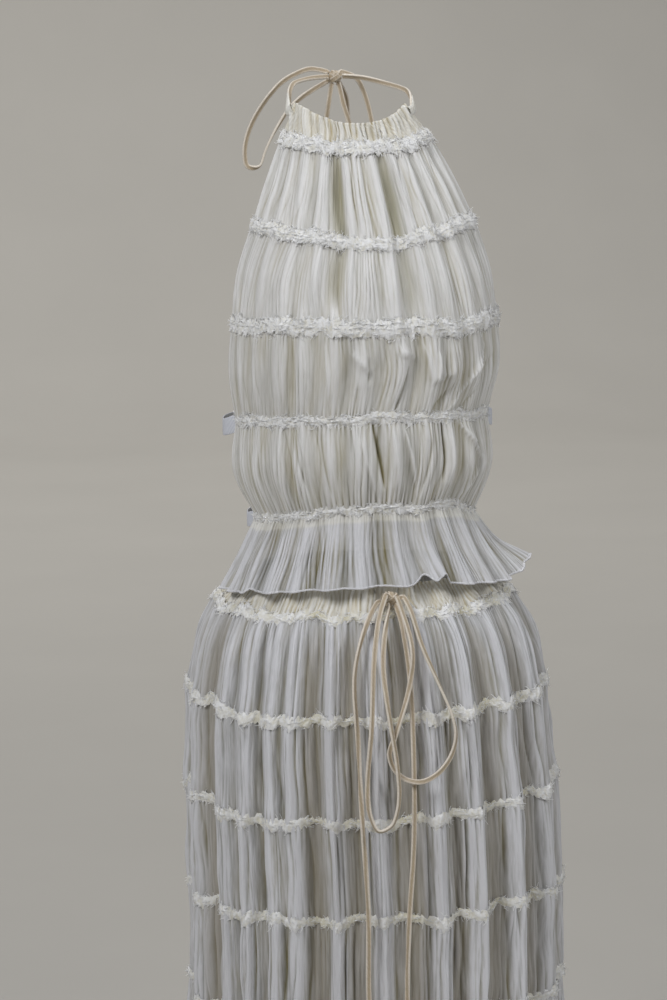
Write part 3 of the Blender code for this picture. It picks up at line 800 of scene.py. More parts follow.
def catmull_rom(a, b, c, d, s):
    """Points from b to c, for s from 0 to 1, of the cubic with the slopes (c - a)/2 and
    (d - b)/2 at its ends."""
    cubic = 2 * b + (c - a) * s + (2 * a - 5 * b + 4 * c - d) * s**2
    return 0.5 * (cubic + (3 * b - a - 3 * c + d) * s**3)


def evenly(curve, along, steps):
    """A curve at even steps of its distances along, by straight lines between its points."""
    at = np.linspace(0, along[-1], steps + 1)
    return np.column_stack([np.interp(at, along, curve[:, axis]) for axis in range(3)])


def smooth_route(points):
    """Even points on a Catmull-Rom curve through the route, as in the part's source. Its first
    and last steps stay as they are."""
    given = np.asarray(points, float)
    s = np.linspace(0, 1, 24, endpoint=False)[:, None]
    spans = zip(given, given[1:], given[2:], given[3:])
    fine = np.vstack([catmull_rom(*four, s) for four in spans] + [given[-2:-1]])
    along = run_of(fine)
    even = evenly(fine, along, round(along[-1] / CORD_STEP))
    return np.vstack([given[:1], even, given[-1:]])


def finer(points, step):
    """Points every step along a Catmull-Rom curve through given ones."""
    given = np.asarray(points, float)
    padded = np.vstack([2 * given[0] - given[1], given, 2 * given[-1] - given[-2]])
    at = np.linspace(0, len(given) - 1, 12 * (len(given) - 1) + 1)
    i = np.clip(np.floor(at).astype(int), 0, len(given) - 2)
    curve = catmull_rom(*(padded[i + k] for k in range(4)), (at - i)[:, None])
    along = run_of(curve)
    return evenly(curve, along, max(int(along[-1] / step), 4))


def off_knot(middle, half_sizes, direction):
    """Two points where a strand leaves a knot squarely: just clear of it, and further out."""
    middle, half_sizes, way = (np.array(v, float) for v in (middle, half_sizes, direction))
    reach = way / np.linalg.norm(way / half_sizes)
    surface, across = middle + reach, unit(reach / half_sizes**2)
    return [surface + across * CORD_GAP, surface + across * (CORD_GAP + CORD_LEAD)]


def on_skirt(x, z, lift):
    """A point on the front of the skirt's crests, moved out by lift."""
    rows = list(SKIRT_ROWS.values())[::-1]
    heights = [row.front_z for row in rows]
    half_width, depth, middle = (
        np.interp(z, heights, [getattr(row, size) for row in rows])
        for size in ("half_width", "front_depth", "middle")
    )
    angle = np.array([math.asin((x - middle) / half_width)])
    at_y, normal_y = outline(angle, half_width, depth, depth)[1::2]
    return (x, at_y[0] + normal_y[0] * lift, z)


def moved_out(ring, distance):
    """An open line of points, each moved across the line through its neighbours, outwards."""
    step = unit(np.diff(ring[:, :2], axis=0))
    into = np.vstack([step[:1], step])
    along = unit(into + np.vstack([step, step[-1:]]))
    mitre = np.clip((along * into).sum(axis=1), 0.5, 1.0)
    across = np.column_stack([along[:, 1], -along[:, 0]]) / mitre[:, None]
    moved = ring.copy()
    moved[:, :2] += across * distance
    return moved


def casing_end(end, step):
    """Two points squarely off the end face of the neck casing, near its top."""
    widths = np.array([fold.width for fold in TOP_FOLDS])
    edges = np.concatenate([[0.0], np.cumsum(widths) / widths.sum()])
    place = np.append((edges[:-1, None] + np.diff(edges)[:, None] * np.arange(4) / 4).ravel(), 1)
    outer = [plain_top_row(name, place) for name in ("neckline", "frill_1")]
    inner = [moved_out(ring, -NECK_CASING) for ring in outer]
    upper, lower = ((out[end] + back[end]) / 2 for out, back in zip(outer, inner))
    across = unit(np.cross(lower - upper, inner[0][end] - outer[0][end]))
    across *= np.sign(across @ (outer[0][end] - outer[0][end - step]))
    start = upper + (lower - upper) * 0.2
    return [start + across * CORD_GAP, start + across * (CORD_GAP + CORD_LEAD)]


def plain_top_row(name, place):
    """A row of the top without its stray seam, as the solids have it."""
    points = top_row(name, place)[0]
    if name.startswith("frill"):
        points[:, 2] -= seam_wave(name, place, list(TOP_ROWS).index(name))
    return points


def cord_routes():
    """Each cord's route from its start to its end, as in the part's source."""

    def neck(direction):
        return off_knot(NECK_KNOT, NECK_KNOT_SIZE, direction)

    def waist(direction):
        return off_knot(WAIST_KNOT, WAIST_KNOT_SIZE, direction)

    def skirt(*spots):
        return [on_skirt(*spot) for spot in spots]

    near, (middle, far) = TAIL_LIFT, LOOP_LIFTS
    return {
        "neck_tie_right": [
            *casing_end(0, -1), (-64, 22, 13), (-46, 47, 20), *neck((-1, -0.35, 0.0))[::-1],
        ],
        "neck_tie_left": [
            *casing_end(-1, 1), (53, 14, 6), (40, 42, 13), (17, 60, 20),
            *neck((1, -0.25, 0.0))[::-1],
        ],
        "neck_loop_right": [
            *neck((-0.9, 0.5, 0.5)), (-36, 72, 30), (-64, 75, 18), (-88, 79, -10),
            (-101, 82, -38), (-103, 83, -60), (-97, 83, -71), (-88, 81, -66), (-78, 80, -42),
            (-56, 77, -8), (-32, 74, 10), *neck((-0.8, 0.6, -0.5))[::-1],
        ],
        "neck_loop_left": [
            *neck((0.9, 0.6, 0.4)), (12, 74, 19), (24, 78, -8), (30, 81, -46), (26, 82, -78),
            (14, 82, -88), (5, 81, -70), (3, 78, -34), (1, 76, 0),
            *neck((0.6, 0.8, -0.6))[::-1],
        ],
        "neck_tail_right": [
            *neck((-0.4, 0.1, -1)), (-19, 68, -8), (-27, 74, -60), (-33, 78, -112),
            (-31, 78, -154), (-31, 78, -158),
        ],
        "neck_tail_left": [
            *neck((0.5, 0.0, -1)), (-3, 66, -8), (9, 68, -52), (15, 72, -112), (12, 73, -168),
            (12, 73, -172),
        ],
        "drawstring_tail_right": [
            *waist((-1, -0.25, -0.2)),
            *skirt(
                (-18, -497, 14), (-31, -524, 12), (-38, -560, near), (-37, -620, near),
                (-35, -700, near), (-31, -780, near), (-32, -860, near), (-31, -956, near),
                (-31, -960, near),
            ),
        ],
        "drawstring_tail_left": [
            *waist((0.6, -0.75, -0.8)),
            *skirt(
                (13, -511, 12), (17, -560, near), (17, -640, near), (15, -720, near),
                (9, -800, near), (6, -880, near), (8, -946, near), (8, -950, near),
            ),
        ],
        "drawstring_loop_right": [
            *waist((-0.75, -1, 0.6)),
            *skirt(
                (-12, -500, 24), (-20, -540, far), (-26, -600, far), (-31, -650, far),
                (-30, -682, far), (-21, -701, far), (-9, -696, far), (-1, -672, far),
                (-2, -636, far), (-8, -590, far), (-11, -545, far), (-7, -512, 22),
            ),
            *waist((-0.35, -1, -0.7))[::-1],
        ],
        "drawstring_loop_left": [
            *waist((1, -0.4, 0.1)),
            *skirt(
                (23, -496, 17), (31, -528, 14), (46, -566, middle), (58, -600, middle),
                (58, -624, middle), (44, -646, middle), (22, -656, middle), (1, -648, middle),
                (-8, -628, middle), (0, -604, middle), (14, -566, middle), (19, -526, 21),
            ),
            *waist((0.6, -1, 0.2))[::-1],
        ],
    }


def cord_section(width, sides=16):
    """A flat tube's section with rolled edges: a = w/2 cos t, b = w sin t (0.17 + 0.34 cos^2 t),
    for t once round."""
    t = np.arange(sides) / sides * TAU
    return np.column_stack(
        [width / 2 * np.cos(t), width * np.sin(t) * (0.17 + 0.34 * np.cos(t) ** 2)]
    )


def cord_surface(route, width, seed):
    """The flat cord along its route, lying face out and turning a little on its way."""
    path = finer(smooth_route(route), CORD_FINE_STEP)
    tangent = unit(np.gradient(path, axis=0))
    out = square_to(tangent, unit(path * [1, 1, 0]))
    side = np.cross(tangent, out)
    run = run_of(path)
    turn = 1.1 * (noise(run / 60, 0, seed) - 0.5) * 2
    across = side * np.cos(turn)[:, None] + out * np.sin(turn)[:, None]
    section = cord_section(width)
    # Painted shade down the middle of the cord, so that the rolled edges stay bright
    lobe = 1 - np.abs(section[:, 0]) / (width / 2)
    fold = np.clip(lobe * 1.4 - 0.15, 0, 0.85)
    rings = swept(path, across, section)
    return grid(rings, around=True, run=capped(run), down=section[:, 0] * 2, fold=fold)


# The turns of a knot: tilt in radians, shift sideways in millimetres, and size against the knot
KNOT_TURNS = ((0.1, 0.0, 0.72), (0.9, 1.05, 0.78), (-0.8, 0.9, 0.74))


def knot_surface(middle, half_sizes, width, seed):
    """A tied knot: three turns of the flat cord round a lump of it. Each turn is an ellipse
    cos t * u + sin t * v of the knot's size, and the lump fills them."""
    middle, half_sizes = np.array(middle), np.array(half_sizes)
    section = cord_section(width)
    # Painted shade down the middle of each turn
    lobe = np.clip(1.2 - np.abs(section[:, 0]) / (width / 2), 0, 0.8)
    t = np.linspace(0, TAU, 37)[:, None]
    turns = []
    for tilt, shift, scale in KNOT_TURNS:
        u = np.array([math.sin(tilt), 0.0, math.cos(tilt)])
        w = np.array([math.cos(tilt), 0.0, -math.sin(tilt)])
        path = np.cos(t) * u + np.sin(t) * np.array([0, 1, 0])
        path = middle + path * half_sizes * scale + w * shift
        rings = swept(path, w, section, caps=False)
        turns.append(grid(rings, True, run=run_of(path)[:, None], down=0.0, fold=lobe))
    lat = np.linspace(0.02, math.pi - 0.02, 13)[:, None]
    lon = np.linspace(0, TAU, 24, endpoint=False)
    ball = np.stack(
        [np.sin(lat) * np.cos(lon), np.sin(lat) * np.sin(lon), np.cos(lat) + 0 * lon], axis=-1
    )
    bumpy = 0.78 * (0.94 + 0.12 * noise(lat * 2, lon * 2, seed))[..., None]
    lump = middle + ball * half_sizes * bumpy
    # The lump inside the turns is painted in shade
    turns.append(grid(lump, True, run=lon * 6, down=lat * 8, fold=0.8))
    return joined(turns)


class DRESS_OT_cords(bpy.types.Operator):
    """Add the satin neck ties with their bow, and the drawstring's bow at the waist"""

    bl_idname = "dress.cords"
    bl_label = "Cords and knots"

    def execute(self, context):
        width = context.scene.dress_sizes.cord_width / MM
        material = make_material("satin_cord")
        for name, middle, size in (
            ("neck_knot", NECK_KNOT, NECK_KNOT_SIZE),
            ("drawstring_knot", WAIST_KNOT, WAIST_KNOT_SIZE),
        ):
            surface = knot_surface(middle, size, width, 5)
            add_piece(f"satin_{name}", surface, material, [name])
        for seed, (name, route) in enumerate(cord_routes().items(), start=31):
            surface = cord_surface(route, width, seed)
            piece = add_piece(f"satin_{name}", surface, material, [name])
            path = smooth_route(route) * MM
        return {"FINISHED"}


# Cloth


def pinch(distance, reach):
    """How strongly a seam gathers the cloth at a distance in millimetres: e^(-distance/reach)."""
    return np.exp(-np.clip(distance, 0, None) / reach)


def local_mean(values, half, around):
    """The mean of each row of values over half columns to both sides."""
    mode = "wrap" if around else "edge"
    padded = np.pad(values, ((0, 0), (half + 1, half)), mode=mode)
    total = np.cumsum(padded, axis=1)
    return (total[:, 2 * half + 1 :] - total[:, : -2 * half - 1]) / (2 * half + 1)


def crease_shade_depth(relief, step, around, base=0.3, fine=0.5, broad=0.17):
    """How much painted crease shade each point gets, from 0 on a crest to 1 or more: base, plus how
    far it lies under the mean of 2 mm and of 13 mm to both sides. step is the columns' spacing."""
    near = local_mean(relief, max(round(2.2 / step), 1), around) - relief
    far = local_mean(relief, max(int(13 / step), 2), around) - relief
    return np.clip(base + fine * near + broad * far, -0.35, 1.6)


def crinkled(points, normals, into, run, down, seams, look, seed, around=False, extra=0.0):
    """Pleats a smooth stretch of cloth: it moves out by broad and fine ridges, which flatten at a
    seam while the seam's own short gathers rise, and by extra heights in millimetres. Gives points
    and how much painted crease shade they get, more in the gathers at a seam."""
    length = down[-1]
    down = down[:, None]
    run = run[None, :]
    wander = 0.2 if around else 0.45
    broad = pleats(run, down, look.broad_width, seed, wander, look.sharp)
    fine = pleats(run, down, look.fine_width, seed + 11, 1.5 * wander, 0.7)
    top = pinch(down, look.reach) if "top" in seams else 0 * down
    foot = pinch(length - down, look.reach) if "foot" in seams else 0 * down
    gather = sum(
        pleats(run, 0 * down, look.gather_width, seed + salt, 0.3, 0.8) * seam
        for salt, seam in ((23, top), (29, foot))
    )
    held = np.clip(1 - 0.75 * (top + foot), 0, 1)
    if not around:
        edge = np.minimum(run, run[0, -1] - run)
        held = held * np.clip(0.25 + edge / 22, 0, 1)
    lively = 0.15 + 2.2 * noise(run / 27, down / 55, seed + 41) ** 1.6
    sag = (down / length) ** look.sag
    full = np.clip(4 * sag * (1 - sag), 0, 1)
    relief = held * (look.broad * (broad - 0.55) + look.fine * lively * (fine - 0.4))
    relief = relief + look.gather * (gather - 0.35 * (top + foot)) + extra
    out = look.puff * (full**0.5 - 0.5 * full) + relief
    step = run[0, -1] / run.shape[1]
    # Painted crease shade: by depth under the neighbours, and more near the gathered seams
    crease = crease_shade_depth(relief - into, step, around, broad=look.shade) + 0.15 * (top + foot)
    return points + normals * out[..., None], crease


# How a tier is crinkled: heights and widths of its broad ridges, fine ridges and gathers, how far
# a seam's gathers reach, and how far the tier puffs out, all in millimetres; where it puffs most,
# how sharp its creases are and how much painted shade they get
Look = namedtuple(
    "Look", "broad broad_width fine fine_width gather gather_width reach puff sag sharp shade"
)


def crumples(run, down, number):
    """Heights of a tier's crumples over the cloth. Along a crumple's line, t from 0 to 1, the
    height goes as (4t(1 - t))^0.5; away from it, at a distance d, as e^(-d/w), with w four tenths
    as wide on one side of the line as on the other."""
    length, wide = down[-1], run[-1]
    out = np.zeros((len(down), len(run)))
    for crumple in (crumple for crumple in CRUMPLES if crumple.tier == number):
        x0, y0 = crumple.place * wide, crumple.down * length
        along_x, along_y = crumple.to_place * wide - x0, crumple.to_down * length - y0
        size = math.hypot(along_x, along_y)
        x, y = run[None, :] - x0, down[:, None] - y0
        t = np.clip((x * along_x + y * along_y) / size**2, 0, 1)
        d = (x * along_y - y * along_x) / size
        past = np.hypot(x - t * along_x, y - t * along_y)
        side = np.where(d > 0, 1.0, 0.4) * crumple.wide
        out = out + 1.25 * crumple.height * np.sqrt(4 * t * (1 - t) + 0.02) * np.exp(-past / side)
    return out


def turned_edges(place, hem):
    """Places across a panel whose two side edges are turned under: they run back by hem, a share
    of its width, and lie behind the cloth by the second array, in millimetres."""
    back = np.array([1.0, 0.66, 0.33, 0.05])
    lead = np.concatenate([back * hem, [-0.0012]])
    behind = np.array([-1.5, -1.5, -1.5, -1.3, -0.7])
    places = np.concatenate([lead, place, 1 - lead[::-1]])
    outs = np.concatenate([behind, 0 * place, behind[::-1]])
    return places, outs


class DRESS_OT_bodice(bpy.types.Operator):
    """Add the four gathered tiers of the halter top"""

    bl_idname = "dress.bodice"
    bl_label = "Bodice tiers"

    def execute(self, context):
        sizes = context.scene.dress_sizes
        broad, wide = sizes.crinkle_depth / MM, sizes.crinkle_width / MM
        looks = {
            1: Look(broad * 0.8, wide * 1.25, 0.9, 4.6, 3.2, 6.5, 12, 1.0, 1.0, 0.6, 0.11),
            2: Look(broad * 0.55, wide * 1.2, 1.1, 4.8, 2.6, 5.2, 10, 1.5, 1.0, 0.5, 0.1),
            3: Look(broad * 0.6, wide * 1.3, 1.2, 4.8, 3.2, 5.2, 13, 4.0, 1.15, 0.5, 0.12),
            4: Look(broad * 0.7, wide * 1.3, 1.3, 4.8, 3.6, 5.2, 16, 5.0, 1.2, 0.5, 0.12),
        }
        material = make_material("lined_ivory_crinkle")
        columns, rows = TIER_GRID
        for number, look in looks.items():
            names = (f"frill_{number}", f"tier_{number}", f"frill_{number + 1}")
            place, behind = turned_edges(np.linspace(0, 1, columns), TURNED_TIER_EDGE)
            inside = np.clip(place, 0, 1)
            # Rows lie closer at the seams, where the gathers are
            even = np.linspace(0, 1, rows)
            down = 0.5 * even + 0.5 * (0.5 - 0.5 * np.cos(math.pi * even))
            points, normals, into, run, deep = loft(top_row, TOP_ROWS, names, inside, down)
            heights = crumples(run, deep, number)
            shaped, crease = crinkled(
                points, normals, into, run, deep, ("top", "foot"), look, 100 * number, extra=heights
            )
            shaped = shaped + normals * behind[None, :, None]
            # Painted shade: the first tier's deep folds and the puffed tiers' creases are painted
            # darker
            recess = np.clip(into / 12.0, 0, 1) * (0.85 if number == 1 else 0.62)
            if number > 2:
                crease = crease + 0.16
            surface = grid(shaped, run=run, down=deep[:, None], fold=crease, recess=recess)
            name = f"bodice_tier_{number}"
            piece = add_piece(f"crinkled_{name}", surface, material, [name])
        return {"FINISHED"}


class DRESS_OT_peplum(bpy.types.Operator):
    """Add the sheer pleated peplum with its narrow rolled hem"""

    bl_idname = "dress.peplum"
    bl_label = "Peplum"

    def execute(self, context):
        material = make_material("sheer_ivory_crinkle")
        look = Look(2.4, 10.5, 1.6, 4.4, 2.8, 5.2, 14, 1.0, 1.0, 0.9, 0.12)
        names = ("frill_5", "peplum", "hem")
        columns, rows = PEPLUM_GRID
        place, behind = turned_edges(np.linspace(0, 1, columns), TURNED_PEPLUM_EDGE)
        inside, down = np.clip(place, 0, 1), np.linspace(0, 1, rows)
        points, normals, into, run, deep = loft(top_row, TOP_ROWS, names, inside, down)
        shaped, crease = crinkled(points, normals, into, run, deep, ("top",), look, 700)
        # Painted shade: patches where a single layer shows the dark, shaded inside behind it, and
        # the stripe beside the middle fold
        see_through_shade = np.clip(2.4 * (noise(run / 17, deep[:, None] / 60, 5) - 0.5), -0.35, 0.6)
        beside = np.exp(-(((inside - PEPLUM_DARK_PLACE) / PEPLUM_DARK_SPREAD) ** 4))
        crease = crease + 0.45 * (see_through_shade + beside * np.clip(down[:, None] * 4, 0, 1))
        shaped = shaped + normals * behind[None, :, None]
        lining = 0.5 * np.clip((LINING_BAND_HEIGHT - deep[:, None]) / 1.5 + 0.5, 0, 1)
        values = {"fold": crease, "recess": 0.0, "lining": lining}
        body = grid(shaped, run=run, down=deep[:, None], **values)
        edge = shaped[-1] + normals[-1] * 0.5
        turn = np.arange(8) / 8 * TAU
        section = np.column_stack([1.0 * np.cos(turn), 0.7 * np.sin(turn)])
        rings = swept(edge, (0, 0, 1), section)
        plain = {"down": 0.0, "fold": -0.5, "recess": 0.0, "lining": 0.0}
        surface = joined([body, grid(rings, around=True, run=capped(run), **plain)])
        piece = add_piece("crinkled_peplum", surface, material, ["peplum"])
        return {"FINISHED"}


class DRESS_OT_skirt(bpy.types.Operator):
    """Add the five tiers of the sheer skirt"""

    bl_idname = "dress.skirt"
    bl_label = "Skirt tiers"

    def execute(self, context):
        sizes = context.scene.dress_sizes
        depth, width = sizes.skirt_fold_depth / MM, sizes.skirt_fold_width / MM
        material = make_material("sheer_ivory_crinkle")
        stretches = (
            ("frill_1", "yoke", "frill_2"),
            ("frill_2", "frill_3"),
            ("frill_3", "frill_4"),
            ("frill_4", "frill_5"),
            ("frill_5", "tier_5", "hem"),
        )
        for number, names in enumerate(stretches, start=1):
            scale = 0.7 if number == 1 else 1.0
            look = Look(depth * scale, width * scale, 2.2, 5.8, 4.5, 8.0, 16, 3.0, 1.0, 1.0, 0.13)
            columns, rows = SKIRT_GRID
            place = np.linspace(0, 1, columns, endpoint=False)
            down = np.linspace(0, 1, LAST_SKIRT_TIER_ROWS if number == 5 else rows)
            points, normals, into, run, deep = loft(skirt_row, SKIRT_ROWS, names, place, down)
            seams = ("top",) if number == 5 else ("top", "foot")
            seed = 900 + number * 40
            shaped, crease = crinkled(points, normals, into, run, deep, seams, look, seed, True)
            # Painted shade: on the floors of the folds, and on the sides, where the skirt turns
            # away from the light
            sides = 0.3 * np.exp(-(((np.abs(place - 0.5) - 0.2) / 0.05) ** 2))[None, :]
            recess = np.clip(into / (1.15 * into.max()) + sides, 0, 1)
            values = {"run": run, "down": deep[:, None], "fold": crease, "recess": recess}
            surface = grid(shaped, True, **values)
            if number == 5:
                closed = np.vstack([shaped[-1], shaped[-1][:1]]) - [0, 0, 0.5]
                turn = np.arange(6) / 6 * TAU
                section = np.column_stack([1.1 * np.cos(turn), 0.9 * np.sin(turn)])
                rings = swept(closed, (0, 0, 1), section, caps=False)
                along = np.append(run, run[-1] + 1)[:, None]
                hem = grid(rings, around=True, run=along, down=0.0, fold=0.0, recess=0.0)
                surface = joined([surface, hem])
            name = f"skirt_tier_{number}"
            piece = add_piece(f"crinkled_{name}", surface, material, [name])
        return {"FINISHED"}


def casing_tip(route):
    """An end of the neck casing, drawn up round its tie to a point: a flat horn on the tie's outer
    side. Its half-width falls as (1 - t)^0.8 along it, for t from 0 to 1."""
    path = finer(smooth_route(route), CORD_FINE_STEP)
    path = path[run_of(path) < CASING_TIP_LENGTH]
    path = np.vstack([path[0] - 2.5 * (path[1] - path[0]), path])
    tangent = unit(np.gradient(path, axis=0))
    out = square_to(tangent, unit(path * [1, 1, 0]) - [0, 1, 0])
    side = np.cross(tangent, out)
    t = np.linspace(0, 1, len(path))[:, None, None]
    turn = (np.arange(12) / 12 * TAU)[None, :, None]
    wide, thick = 5.0 * (1 - t) ** 0.8 + 0.4, 1.6 * (1 - t) + 0.5
    rings = path[:, None] + out[:, None] * (2.0 + thick * np.sin(turn))
    rings = rings + side[:, None] * wide * np.cos(turn)
    # Painted shade in three creases along the horn
    fold = 0.3 + 0.25 * np.cos(3 * turn[..., 0])
    return grid(rings, True, run=turn[..., 0] * 3, down=t[..., 0] * 30, fold=fold, recess=0.0)


class DRESS_OT_casings(bpy.types.Operator):
    """Add the two gathered casings: at the neck over the tie, and at the waist over elastic"""

    bl_idname = "dress.casings"
    bl_label = "Casings"

    def execute(self, context):
        material = make_material("gathered_casing")
        made = (
            ("neck_casing", top_row, TOP_ROWS, ("neckline", "frill_1"), NECK_CASING, 460),
            ("waist_casing", skirt_row, SKIRT_ROWS, ("top", "frill_1"), WAIST_CASING, 900),
        )
        for name, row, rows, names, thick, columns in made:
            around = name == "waist_casing"
            place = np.linspace(0, 1, columns, endpoint=not around)
            face = np.linspace(1, 0, 9)
            down = np.concatenate([face, [0, 0, 0], face[::-1]])
            points, normals = loft(row, rows, names, place, down)[:2]
            roll = np.linspace(0, math.pi, 5)[1:-1]
            # The casing's face, the roll over its top and its back
            over = -thick * (0.5 - 0.5 * np.cos(roll))
            behind = np.concatenate([0 * face, over, 0 * face - thick])
            above = np.concatenate([0 * face, 1.6 * np.sin(roll), 0 * face])
            run = run_of(points[0])
            deep = run_of(points[:9, columns // 2])
            deep = np.concatenate([deep, [deep[-1]] * 3, deep[::-1]])
            width = 6.0 if around else 7.0
            line = run[None, :] if around else points[..., 0] + 0.35 * run + 90
            gather = pleats(line, deep[:, None] * 2.4, width, 61, 0.8, 0.7)
            fine = pleats(line, deep[:, None] * 2.0, 3.2, 67, 0.9, 0.8)
            uneven = 0.4 + 1.2 * noise(line / 19, deep[:, None] / 9, 73)
            out = 5.0 * uneven * (gather - 0.62) + 1.8 * (fine - 0.5)
            face_side = np.where(behind > -thick * 0.6, 1.0, -0.4)[:, None]
            shaped = points + normals * (behind[:, None] + out * face_side)[..., None]
            shaped[..., 2] += above[:, None] + (gather - 0.5) * 1.3 * (down[:, None] < 0.2)
            # Painted shade in the creases of the gathers
            crease = crease_shade_depth(out, run[-1] / columns, around, 0.55, 0.2, 0.22)
            values = {"run": run, "down": deep[:, None], "fold": crease, "recess": 0.0}
            surface = grid(shaped, around, **values)
            if not around:
                ties = (route for tie, route in cord_routes().items() if "tie" in tie)
                surface = joined([surface, *(casing_tip(route) for route in ties)])
            piece = add_piece(f"gathered_{name}", surface, material, [name])
        return {"FINISHED"}


def frayed_threads(start, way, aside, out, count, seed):
    """Loose yarn ends as thin three-sided tubes: start + way t + curl t^2, each with its own
    length, lean and curl. start, way, aside and out are arrays along the edge."""
    pick = (scatter(np.arange(count), seed) * (len(start) - 1)).astype(int)
    r = [scatter(np.arange(count), seed + k + 1)[:, None] * 2 - 1 for k in range(8)]
    long = 2.2 + 1.9 * (r[0] + 1) * np.abs(r[5])
    way, aside, out = way[pick], aside[pick], out[pick]
    lean = unit(way * (0.5 + 0.6 * r[1]) + aside * 1.5 * r[2] + out * (0.2 + 0.4 * r[3]))
    curl = aside * 3.4 * r[4] + out * 1.5 * r[6] - way * 2.0 * r[7]
    t = np.linspace(0, 1, 3)[None, :, None]
    path = start[pick][:, None] + lean[:, None] * long[:, None] * t + curl[:, None] * t**2
    u = unit(np.cross(lean, [0.31, 0.52, 0.79]))
    v = np.cross(lean, u)
    turn = (np.arange(3) / 3 * TAU)[:, None]
    radius = (0.46 - 0.2 * t)[..., None]
    ring = np.cos(turn) * u[:, None, None] + np.sin(turn) * v[:, None, None]
    points = (path[:, :, None] + radius * ring).reshape(-1, 3)
    index = np.arange(count * 9).reshape(count, 3, 3)
    index = np.concatenate([index, index[:, :, :1]], axis=2)
    quads = np.stack(
        [index[:, :-1, :-1], index[:, 1:, :-1], index[:, 1:, 1:], index[:, :-1, 1:]], axis=-1
    )
    zero = np.zeros(len(points))
    return Surface(points, quads.reshape(-1, 4), {"run": zero, "down": zero, "fold": zero})


def frill_surface(seam, way, normals, height, layers, around, sunk, seed):
    """A raw strip gathered on its middle line over a seam. Across the strip, v from -1 to 1,
    it moves v times the height along way and stands out by a rounded crown, as 1.4 - v^2,
    with crumpled noise, tufts, a ragged edge and painted shade in its dents. Where it is sunk in
    a trough, by 0 to 1, it is up to half narrower and painted darker in shade. Loose threads lie
    over all of it."""
    run = run_of(seam)
    line = run[None, :]
    aside = unit(np.gradient(seam, axis=0))
    v = np.linspace(-1, 1, 9)[:, None]
    made, threads = [], []
    for layer in range(layers):
        salt = seed + 50 * layer
        side = np.where(v > 0, 0.0, 37.0)
        wide = 0.7 + 0.6 * noise(line / 8 + side, 0, salt)
        wide = wide * (1 - 0.4 * noise(line / 1.6 + side, 0, salt + 1))
        wide = wide * (1 + 0.1 * around - 0.55 * sunk)
        across = v * height * wide
        crumple = noise(line / 3.1, v * 1.9 + 20, salt + 5) - 0.5
        small = noise(line / 1.4, v * 1.3 + 20, salt + 6) - 0.5
        tuft = np.clip(noise(line / 9 + side, 3, salt + 3) - 0.55, 0, 1) * 5 * np.abs(v) ** 1.5
        out = FRILL_STAND * (1.4 - v**2) + 0.5 * layer + 1.1 * crumple + small + tuft
        slide = 1.8 * (noise(line / 2.6, v * 2.3 + 40, salt + 7) - 0.5)
        lift = 1.6 * (noise(line / 2.3, v * 2.6 + 60, salt + 8) - 0.5)
        points = seam + (across + lift)[..., None] * way + out[..., None] * normals
        points = points + slide[..., None] * aside
        # Painted shade: in the crumple's dents, and more where the frill is sunk in a trough
        fold = np.clip(0.3 - 0.9 * crumple - 0.6 * small, 0, 0.8) + 1.1 * sunk
        made.append(grid(points, around=around, run=line, down=across, fold=fold))
        for sign, edge in ((-1, 0), (-1, 2), (0.3, 4), (1, 6), (1, 8)):
            count = int(run[-1] * (0.3 if around else 0.4))
            lean = way * sign
            threads.append(
                frayed_threads(points[edge], lean, aside, normals, count, salt + 7 + edge)
            )
    return joined(made + threads)


class DRESS_OT_frills(bpy.types.Operator):
    """Add the ten narrow frayed frills over the seams"""

    bl_idname = "dress.frills"
    bl_label = "Frayed frills"

    def execute(self, context):
        height = context.scene.dress_sizes.frill_height / MM
        material = make_material("frayed_frill")
        for garment, row, rows, columns in (
            ("bodice", top_row, TOP_ROWS, 480),
            ("skirt", skirt_row, SKIRT_ROWS, 1100),
        ):
            around = garment == "skirt"
            order = list(rows)
            place = np.linspace(0, 1, columns, endpoint=not around)
            for number in range(1, 6):
                at = order.index(f"frill_{number}")
                seam, normals, into = row(order[at], place)
                way = unit(row(order[at - 1], place)[0] - row(order[at + 1], place)[0])
                seed = (300 if around else 200) + number
                layers = 1 if around else 2
                scale = SKIRT_FRILL_HEIGHT if around else BODICE_FRILL_HEIGHTS[number - 1]
                tall = height * scale
                sunk = np.clip(into / into.max() - 0.15, 0, 1)[None, :] ** 1.5 * around
                surface = frill_surface(seam, way, normals, tall, layers, around, sunk, seed)
                name = f"{garment}_frill_{number}"
                piece = add_piece(f"frayed_{name}", surface, material, [name])
        return {"FINISHED"}


